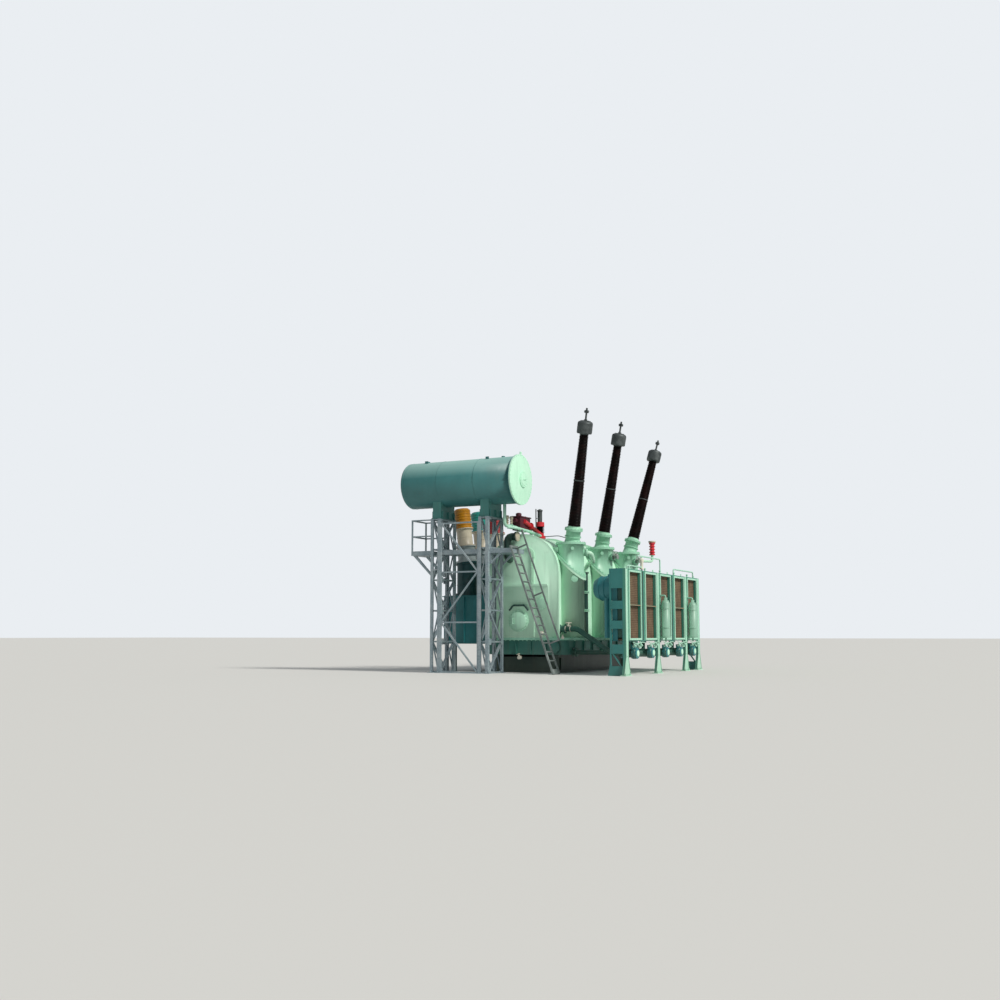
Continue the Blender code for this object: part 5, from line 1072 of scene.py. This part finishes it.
# The columns' faces: cover plates between flat bars along their outer sides, base plates and anchor
# bolts on the plinth, in the light green that is painted sunlight on the columns.
MARKS = (-5.05, -2.13, 0.79, 2.25)
builder = bmesh.new()
for n, mark in enumerate(MARKS):
    for x in (mark - 0.09, mark + 0.078):
        block(builder, (x, y0 + 0.012, 0.56), (x + 0.012, y1, BANK_TOP))
    block(builder, (mark - 0.075, BANK_FRONT_Y - 0.006, 0.6), (mark + 0.075, y1, BANK_TOP - 0.01))
    plate = [(mark - 0.23, 0.04), (mark + 0.23, 0.04), (mark + 0.075, 0.59), (mark - 0.075, 0.59)]
    skin(builder, [[Vector((x, y, z)) for x, z in plate] for y in (BANK_FRONT_Y - 0.006, y1)])
    for side in (-1, 1):
        sole = [(0.25, 0.05), (0.262, 0.05), (0.102, 0.56), (0.09, 0.56)]
        skin(builder, [[Vector((mark + side * x, y, z)) for x, z in sole] for y in (y0 + 0.012, y1)])
    block(builder, (mark - 0.27, BANK_FRONT_Y - 0.05, 0.0), (mark + 0.27, BANK_FRONT_Y + 0.13, 0.03))
    for x in (mark - 0.2, mark + 0.2):
        hexagon(builder, facing((x, BANK_FRONT_Y - 0.025, 0.03), UP), 0.018, 0.05)
fit("column_edges", builder, lit_paint_green, "green_enamel")

# End frames of the bank: slim stiles and deep plate rails, open between them, on a foot that flares
# to the rear. A flat slants across the lowest opening.
END_OPENINGS = (0.30, 0.68, 0.96, 1.44, 1.69, 2.05, 2.30, 2.69)
END_FLARE = 0.07
END_FLARE_Z = 0.38
FRONT_STILE = 0.03
REAR_STILE = 0.045
flats = bmesh.new()
for name in ("bank_end_near", "bank_end_far"):
    low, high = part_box(name)
    front = low[1]
    rear = high[1] - END_FLARE
    foot_top = END_OPENINGS[0]
    flare_y = rear + END_FLARE * (END_FLARE_Z - foot_top) / (END_FLARE_Z - 0.04)
    builder = bmesh.new()
    block(builder, (low[0], front, foot_top), (high[0], front + FRONT_STILE, high[2]))
    block(builder, (low[0], rear - REAR_STILE, END_FLARE_Z), (high[0], rear, high[2]))
    foot = [(front, 0.0), (high[1], 0.0), (high[1], 0.04), (flare_y, foot_top), (front, foot_top)]
    wedge = [(rear - REAR_STILE, foot_top), (flare_y, foot_top), (rear, END_FLARE_Z),
             (rear - REAR_STILE, END_FLARE_Z)]
    for plan in (foot, wedge):
        skin(builder, [[Vector((x, y, z)) for y, z in plan] for x in (low[0], high[0])])
    for z0, z1 in zip(END_OPENINGS[1::2], (*END_OPENINGS[2::2], high[2])):
        block(builder, (low[0], front + FRONT_STILE - 0.001, z0), (high[0], rear - REAR_STILE + 0.001, z1))
    fit(name.replace("bank_end", "end_frame"), builder, shaded_end_frame_green, "green_enamel", name)
    # The slanting flat, and two bolts on each side of every rail.
    x = (low[0] + high[0]) / 2
    start = Vector((x, front + 0.07, 0.27))
    run = Vector((x, front + 0.385, 0.71)) - start
    block(flats, (-0.025, -0.02, 0.0), (0.025, 0.02, run.length), facing(start, run))
    for z in (0.82, 1.56, 2.18, 2.84, 3.2):
        for y in (front + 0.06, front + 0.375):
            hexagon(flats, facing((low[0], y, z), NEAR), 0.012, 0.012)
            hexagon(flats, facing((high[0], y, z), FAR), 0.012, 0.012)
fit("end_frame_flats", flats, shaded_end_frame_green, "green_enamel")

# Vent plugs and lifting eyes along the top of the front frame, one of each to a cooler.
builder = bmesh.new()
for n in range(5):
    x = COOLER_START_X + n * COOLER_PITCH + 0.28
    plug = facing((x, BANK_FRONT_Y + 0.04, BANK_TOP - BITE), UP)
    turn(builder, [(0.045, 0.0), (0.045, 0.012), (0.026, 0.016), (0.026, 0.06), (0.04, 0.065), (0.04, 0.09),
                   (0.02, 0.1)], 14, plug)
    lug = x + 0.76
    block(builder, (lug - 0.04, BANK_FRONT_Y + 0.03, BANK_TOP - BITE),
          (lug + 0.04, BANK_FRONT_Y + 0.045, BANK_TOP + 0.075))
fit("vent_plugs", builder, lit_paint_green, "green_enamel")

# Fan drums. A rolled shroud on a flanged ring, with a wire guard over the far end, the motor seen
# behind it, and a lifting eye on top.
guard = bmesh.new()
shroud = bmesh.new()
DRUM_AXIS_Z = 2.72
SHROUD_BACK_Y = -3.83
for n in range(5):
    centre = Vector((COOLER_START_X + n * COOLER_PITCH + COOLER_WIDTH / 2, SHROUD_BACK_Y, DRUM_AXIS_Z))
    axis = facing(centre, REAR)
    bolt_circle(shroud, axis, 0.412, 20, *SMALL_BOLT, lift=0.085)
    for z in (0.2, 0.4, 0.57):
        turn(shroud, [(0.385, z), (0.396, z + 0.004), (0.396, z + 0.016), (0.385, z + 0.02)], 48, axis)
    block(shroud, (centre.x - 0.008, SHROUD_BACK_Y + 0.3, DRUM_AXIS_Z + 0.38),
          (centre.x + 0.008, SHROUD_BACK_Y + 0.4, DRUM_AXIS_Z + 0.45))
    for r in (0.06, 0.115, 0.17, 0.225, 0.28):
        ring = [axis @ Vector((r * cos(pi * k / 16), r * sin(pi * k / 16), 0.787)) for k in range(33)]
        sweep(guard, ring, 0.004, 5)
    for k in range(6):
        angle = pi * k / 6
        out = Vector((0.285 * cos(angle), 0.285 * sin(angle), 0))
        rod(guard, axis @ (Vector((0, 0, 0.791)) - out), axis @ (Vector((0, 0, 0.791)) + out), 0.005, 6)
    # Terminal box of the fan motor on the casing, and its conduit down to the frame.
    block(shroud, (centre.x + 0.44, SHROUD_BACK_Y - 0.001, 2.4), (centre.x + 0.6, SHROUD_BACK_Y + 0.09, 2.62))
    cable = (centre.x + 0.52, SHROUD_BACK_Y + 0.045)
    sweep(shroud, [(*cable, 2.41), (*cable, 1.2)], 0.012, 8)
fit("drum_bands", shroud, shaded_casing_green, "green_enamel")
fit("fan_guards", guard, zinc, "galvanised_steel")

# Oil filters hang on the columns: deep-drawn canisters with a clamped lid, a drain and a vent cock.
rounded(filter_green, "green_enamel", "filter_1", "filter_2")
builder = bmesh.new()
for name in ("filter_1", "filter_2"):
    low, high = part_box(name)
    x = (low[0] + high[0]) / 2
    y = low[1] + 0.17
    can = facing((x, y, low[2]), UP)
    for z in (0.32, 0.95):
        turn(builder, [(0.135, z), (0.149, z + 0.003), (0.149, z + 0.032), (0.135, z + 0.035)], 36, can)
        block(builder, (x - 0.03, y + 0.13, low[2] + z - 0.01),
              (x + 0.03, BANK_FRONT_Y + 0.001, low[2] + z + 0.045))
    bolt_circle(builder, can, 0.156, 12, 0.008, 0.012, lift=0.05)
    rod(builder, (x, y, low[2] - 0.12), (x, y, low[2] + 0.01), 0.03, 12)
    elbow = high[2] + 0.07
    sweep(builder, bent([(x, y, high[2] - 0.01), (x, y, elbow), (x, BANK_FRONT_Y - 0.01, elbow)], 0.05), 0.03)
fit("filter_clamps", builder, filter_green, "green_enamel")

# Small-bore air pipe along the top of the bank, with a porcelain-coloured cock at its near end.
AIR_Y = -4.2
AIR_Z = 3.78
builder = bmesh.new()
for corners in (
    [(-3.69, AIR_Y, AIR_Z), (-1.5, AIR_Y, AIR_Z), (-1.5, AIR_Y, BANK_TOP - 0.01)],
    [(-3.28, AIR_Y, AIR_Z), (-3.28, AIR_Y, BANK_TOP - 0.01)],
    [(-0.1, AIR_Y, BANK_TOP - 0.01), (-0.1, AIR_Y, 3.52), (2.1, AIR_Y, 3.52), (2.1, AIR_Y, BANK_TOP - 0.01)],
    [(-4.6, AIR_Y, BANK_TOP - 0.01), (-4.6, AIR_Y, 3.42), (-3.3, AIR_Y, 3.42)],
):
    sweep(builder, bent(corners, 0.08), 0.024, 10)
fit("air_pipes", builder, lit_paint_green, "green_enamel")
cock_white = enamel("white_fitting_enamel", "#E6E3D6", "#D9D5C4", grime="#A39C86", soil=0.4, rust=0.3)
builder = bmesh.new()
turn(builder, [(0.075, 0.0), (0.075, 0.03), (0.05, 0.04), (0.05, 0.22), (0.07, 0.25), (0.07, 0.32),
               (0.03, 0.36)], 20, facing((-3.28, AIR_Y, BANK_TOP + 0.06), UP))
fit("air_cock", builder, cock_white, "cast_aluminium")

# Header and pumps. A pipe runs under the bank with one sealed pump to each cooler: cast body, end
# cover with a ring of bolts and a flow glass. Small pipes, cocks and cable boxes hang round them.
PIPE_EDGE = radians(50)
rounded(shaded_header_green, "dark_green_enamel", "oil_header", "oil_pipe_upper", "oil_pipe_lower", limit=PIPE_EDGE)
HEADER_Y = -4.02
HEADER_Z = 0.68
PUMP_REACH = 0.36
pumps = bmesh.new()
faces = bmesh.new()
small = bmesh.new()
for n in range(5):
    x = COOLER_START_X + n * COOLER_PITCH + COOLER_WIDTH / 2
    front = HEADER_Y - PUMP_REACH
    axis = facing((x, front, HEADER_Z), FRONT)
    turn(pumps, [(0.168, -0.001), (0.168, 0.02), (0.15, 0.03), (0.1, 0.034)], 32, axis)
    bolt_circle(pumps, axis, 0.155, 10, 0.01, 0.018, lift=0.02)
    turn(faces, [(0.098, 0.033), (0.098, 0.045), (0.085, 0.053), (0.04, 0.058)], 28, axis)
    tail = facing((x, HEADER_Y + 0.12, HEADER_Z), REAR)
    turn(pumps, [(0.137, 0.0), (0.15, 0.004), (0.15, 0.03), (0.1, 0.06)], 28, tail)
    for z in (0.05, 0.09, 0.13):
        turn(pumps, [(0.165, -z), (0.176, -z + 0.004), (0.176, -z + 0.012), (0.165, -z + 0.016)], 28, axis)
    block(pumps, (x - 0.06, front + 0.04, HEADER_Z + 0.15), (x + 0.06, front + 0.17, HEADER_Z + 0.25))
    # Riser collar, sampling cock and the bent bleed pipe of every cooler.
    turn(pumps, [(0.11, 0.0), (0.11, 0.05)], 20, facing((x, -4.05, BANK_BOTTOM - 0.055), UP))
    side = x + 0.3
    corners = [(x + 0.02, front + 0.08, HEADER_Z + 0.2), (x + 0.12, front + 0.02, HEADER_Z + 0.3),
               (side, front + 0.02, HEADER_Z + 0.16), (side + 0.16, front + 0.04, BANK_BOTTOM - 0.06),
               (side + 0.16, front + 0.08, BANK_BOTTOM + 0.01)]
    sweep(small, bent(corners, 0.05), 0.016, 8)
    corners = [(side - 0.55, BANK_FRONT_Y - 0.02, BANK_BOTTOM - 0.04),
               (side - 0.2, BANK_FRONT_Y - 0.03, BANK_BOTTOM - 0.09),
               (side + 0.25, BANK_FRONT_Y - 0.03, BANK_BOTTOM - 0.03),
               (side + 0.5, BANK_FRONT_Y - 0.02, BANK_BOTTOM - 0.05)]
    sweep(small, bent(corners, 0.12), 0.015, 8)
    for place in ((x - 0.2, front + 0.06, HEADER_Z + 0.2), (side + 0.02, front + 0.03, HEADER_Z + 0.22)):
        turn(small, [(0.035, 0.0), (0.035, 0.07), (0.055, 0.075), (0.055, 0.1)], 12,
             facing(place, (0.1, -0.8, 0.5)))
    block(small, (x + 0.44, BANK_FRONT_Y, BANK_BOTTOM - 0.22),
          (x + 0.56, BANK_FRONT_Y + 0.09, BANK_BOTTOM - 0.06))
fit("pump_bodies", pumps, shaded_casing_green, "green_enamel")
# The pump covers take the disc's lighter green, which is painted sunlight.
fit("pump_covers", faces, sunlit_disc_green, "green_enamel")
fit("cooler_small_pipes", small, lit_paint_green, "green_enamel")

# Flanges and bolts of the two oil pipes, and the small gate valves next to the tank.
builder = bmesh.new()
for x in (-3.64, -2.95):
    face = facing((x, -3.72 + 0.041, HEADER_Z), REAR)
    bolt_circle(builder, face, 0.128, 8, 0.01, 0.015)
    turn(builder, [(0.15, -0.085), (0.15, -0.045)], 28, face)
for place, radius, length in (((-2.95, -1.625, HEADER_Z), 0.09, 0.155), ((-3.27, -1.262, 1.45), 0.1, 0.235)):
    stub = facing(place, FRONT)
    turn(builder, [(0.15, 0.0), (0.15, 0.035), (radius, 0.036), (radius, length - 0.035),
                   (0.15, length - 0.035), (0.15, length)], 28, stub)
    bolt_circle(builder, stub, 0.125, 8, 0.01, 0.015, lift=length)
fit("pipe_flanges", builder, shaded_header_green, "dark_green_enamel")
builder = bmesh.new()
valve(builder, (-3.27, -1.5, 1.45), FRONT, (0.1, 0.0, 1.0), 0.1)
valve(builder, (-3.615, -0.8, 1.32), NEAR, DOWN, 0.055)
valve(builder, (-3.52, 0.06, 0.5), NEAR, (0, 0.4, 1), 0.06)
valve(builder, (-3.62, -1.53, 1.16), (-0.8, -0.6, 0), UP, 0.045)
fit("tank_valves", builder, cock_white, "cast_aluminium")

# Pipe from the conservator down to the roof, and the pressure relief vent, a wide bent pipe on the
# near end plate whose mouth is closed by a cream disc.
vent_green = enamel("vent_green_enamel", "#27463C", "#31544A", soil=0.3, rust=0.5)
rounded(vent_green, "dark_green_enamel", "relief_vent", limit=PIPE_EDGE)
rounded(lit_paint_green, "green_enamel", "oil_pipe_top", limit=PIPE_EDGE)
vent_low, vent_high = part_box("relief_vent")
mouth = facing(((vent_low[0] + vent_high[0]) / 2 - 0.012, vent_low[1] - 0.001, 4.55), FRONT)
builder = bmesh.new()
turn(builder, [(0.168, 0.0), (0.168, 0.03), (0.15, 0.045), (0.04, 0.062)], 36, mouth)
bolt_circle(builder, mouth, 0.155, 10, 0.009, 0.014, lift=0.03)
fit("vent_disc", builder, housing_cream, "cast_aluminium")
TOP_PIPE_Z = 4.87
TOP_PIPE_Y = 0.15
builder = bmesh.new()
for x in (-4.05, -3.56, -2.68):
    turn(builder, [(0.085, 0.0), (0.085, 0.022), (0.09, 0.024), (0.09, 0.046)], 20,
         facing((x, TOP_PIPE_Y, TOP_PIPE_Z), FAR))
fit("top_pipe_flanges", builder, lit_paint_green, "green_enamel")

# Roof fittings. The maroon gas relay on the top pipe, a pale pipe on stools, a red sloping pipe to
# the neutral bushing's red base, the bushing's dark sheds and grey post, and two cream insulators.
NEUTRAL_X = -2.05
neutral = Matrix.Translation((NEUTRAL_X, 0, 0))
relay_maroon = enamel("relay_maroon_enamel", "#451622", "#552230", soil=0.25, rust=0.2)
signal_red = enamel("signal_red_enamel", "#C4202A", "#D23640", grime="#7A2A28", soil=0.3, rust=0.2, gloss=0.3)
builder = bmesh.new()
block(builder, (-3.62, 0.0, 4.78), (-2.84, 0.3, 5.24))
block(builder, (-3.65, -0.03, 5.23), (-2.81, 0.33, 5.265))
for x in (-3.58, -3.23, -2.88):
    for y in (-0.012, 0.312):
        hexagon(builder, facing((x, y, 5.265), UP), 0.012, 0.016)
turn(builder, [(0.1, 0.0), (0.1, 0.1), (0.06, 0.13)], 20, facing((-3.42, 0.16, 5.26), UP))
turn(builder, [(0.08, 0.0), (0.08, 0.2)], 20, facing((-3.8, 0.16, 5.1), FAR))
fit("gas_relay", builder, relay_maroon, "red_enamel")
builder = bmesh.new()
sweep(builder, bent([(-4.3, 0.15, 4.83), (-4.12, -0.12, 4.8), (-3.2, -0.12, 4.76), (-2.2, -0.09, 4.69)], 0.1),
      0.05, 14)
for x in (-3.7, -2.7):
    block(builder, (x, -0.16, 4.58), (x + 0.03, -0.08, 4.73))
fit("roof_pipe", builder, lit_paint_green, "green_enamel")
builder = bmesh.new()
sweep(builder, bent([(-3.35, -0.02, 5.1), (-2.95, -0.03, 4.99), (-2.3, -0.03, 4.8), (NEUTRAL_X, -0.03, 4.76)],
                    0.1), 0.075, 16)
turn(builder, [(0.12, 0.0), (0.12, 0.03)], 24, facing((-2.9, -0.03, 4.98), (1, 0, -0.28)))
turn(builder, [(0.2, 0.0), (0.2, 0.09), (0.14, 0.1), (0.14, 0.2)], 36, facing((NEUTRAL_X, 0, 4.6), UP))
bolt_circle(builder, facing((NEUTRAL_X, 0, 4.69), UP), 0.17, 12, *SMALL_BOLT)
turn(builder, [(0.155, 0.0), (0.155, 0.14), (0.14, 0.155), (0.09, 0.16)], 36,
     facing((NEUTRAL_X, 0, 5.025), UP))
fit("red_neutral_base", builder, signal_red, "red_enamel", "neutral_bushing")
builder = bmesh.new()
profile = [(0.1, 4.79)]
for k in range(6):
    z = 4.8 + 0.038 * k
    profile += [(0.1, z), (0.158, z + 0.012), (0.158, z + 0.018), (0.1, z + 0.032)]
turn(builder, profile + [(0.1, 5.03)], 32, neutral)
fit("neutral_sheds", builder, glazed, "brown_porcelain")
builder = bmesh.new()
turn(builder, [(0.082, 5.18), (0.082, 5.56), (0.1, 5.565), (0.1, 5.6), (0.07, 5.62), (0.035, 5.64)], 28,
     neutral)
rod(builder, (-2.33, 0.02, 4.64), (-2.33, 0.02, 5.62), 0.02, 8)
rod(builder, (-2.33, 0.02, 5.3), (-2.12, 0.0, 5.3), 0.012, 6)
sweep(builder, bent([(NEUTRAL_X, -0.14, 4.66), (NEUTRAL_X, -0.7, 4.68), (-2.5, -1.2, 4.55)], 0.15), 0.014, 8)
fit("neutral_post", builder, cast_head, "cast_aluminium")
builder = bmesh.new()
for x in (-4.28, -3.98):
    turn(builder, [(0.045, 0.0), (0.045, 0.03), (0.03, 0.04), (0.06, 0.07), (0.03, 0.1), (0.06, 0.13),
                   (0.03, 0.16), (0.06, 0.2), (0.065, 0.26), (0.04, 0.3)], 20, facing((x, 0.16, 4.925), UP))
fit("cream_post_insulators", builder, housing_cream, "cast_aluminium")

# Second neutral bushing. It stands on a bent pale pipe that leaves the third turret, and has a red
# resin body with three sheds under a cream cap.
ARM_OUT = Vector((cos(radians(-37.5)), sin(radians(-37.5)), 0))
ARM_REACH = 0.72
ARM_RISE = 0.26
ARM_Z = 4.06
root = Vector((PHASE_X[2], TURRET_Y, ARM_Z)) + ARM_OUT * 0.446
corner = root + ARM_OUT * ARM_REACH
builder = bmesh.new()
sweep(builder, bent([root, corner, corner + Vector((0, 0, ARM_RISE))], 0.1), 0.05, 18)
turn(builder, [(0.085, 0.002), (0.085, 0.022), (0.05, 0.024)], 20, facing(root, ARM_OUT))
turn(builder, [(0.1, 0.0), (0.1, 0.02)], 20, facing(corner + Vector((0, 0, ARM_RISE - 0.025)), UP))
fit("far_neutral_arm", builder, pale_green, "green_enamel")
head = facing(corner + Vector((0, 0, ARM_RISE - 0.02)), UP)
builder = bmesh.new()
profile = [(0.11, 0.0), (0.11, 0.045), (0.082, 0.055), (0.082, 0.075)]
for z in (0.08, 0.19, 0.3):
    profile += [(0.08, z), (0.118, z + 0.026), (0.12, z + 0.036), (0.084, z + 0.07)]
turn(builder, profile + [(0.084, 0.4), (0.118, 0.43), (0.12, 0.46), (0.12, 0.5)], 32, head)
bolt_circle(builder, head, 0.095, 6, 0.009, 0.014, lift=0.045)
fit("far_neutral_body", builder, signal_red, "red_enamel", "neutral_bushing_far")
builder = bmesh.new()
turn(builder, [(0.14, 0.495), (0.14, 0.535), (0.13, 0.545), (0.05, 0.549)], 32, head)
under = head @ Matrix.Translation((0, 0, 0.495)) @ Matrix.Rotation(pi, 4, "X")
bolt_circle(builder, under, 0.13, 8, 0.007, 0.01)
fit("far_neutral_cap", builder, housing_cream, "cast_aluminium")
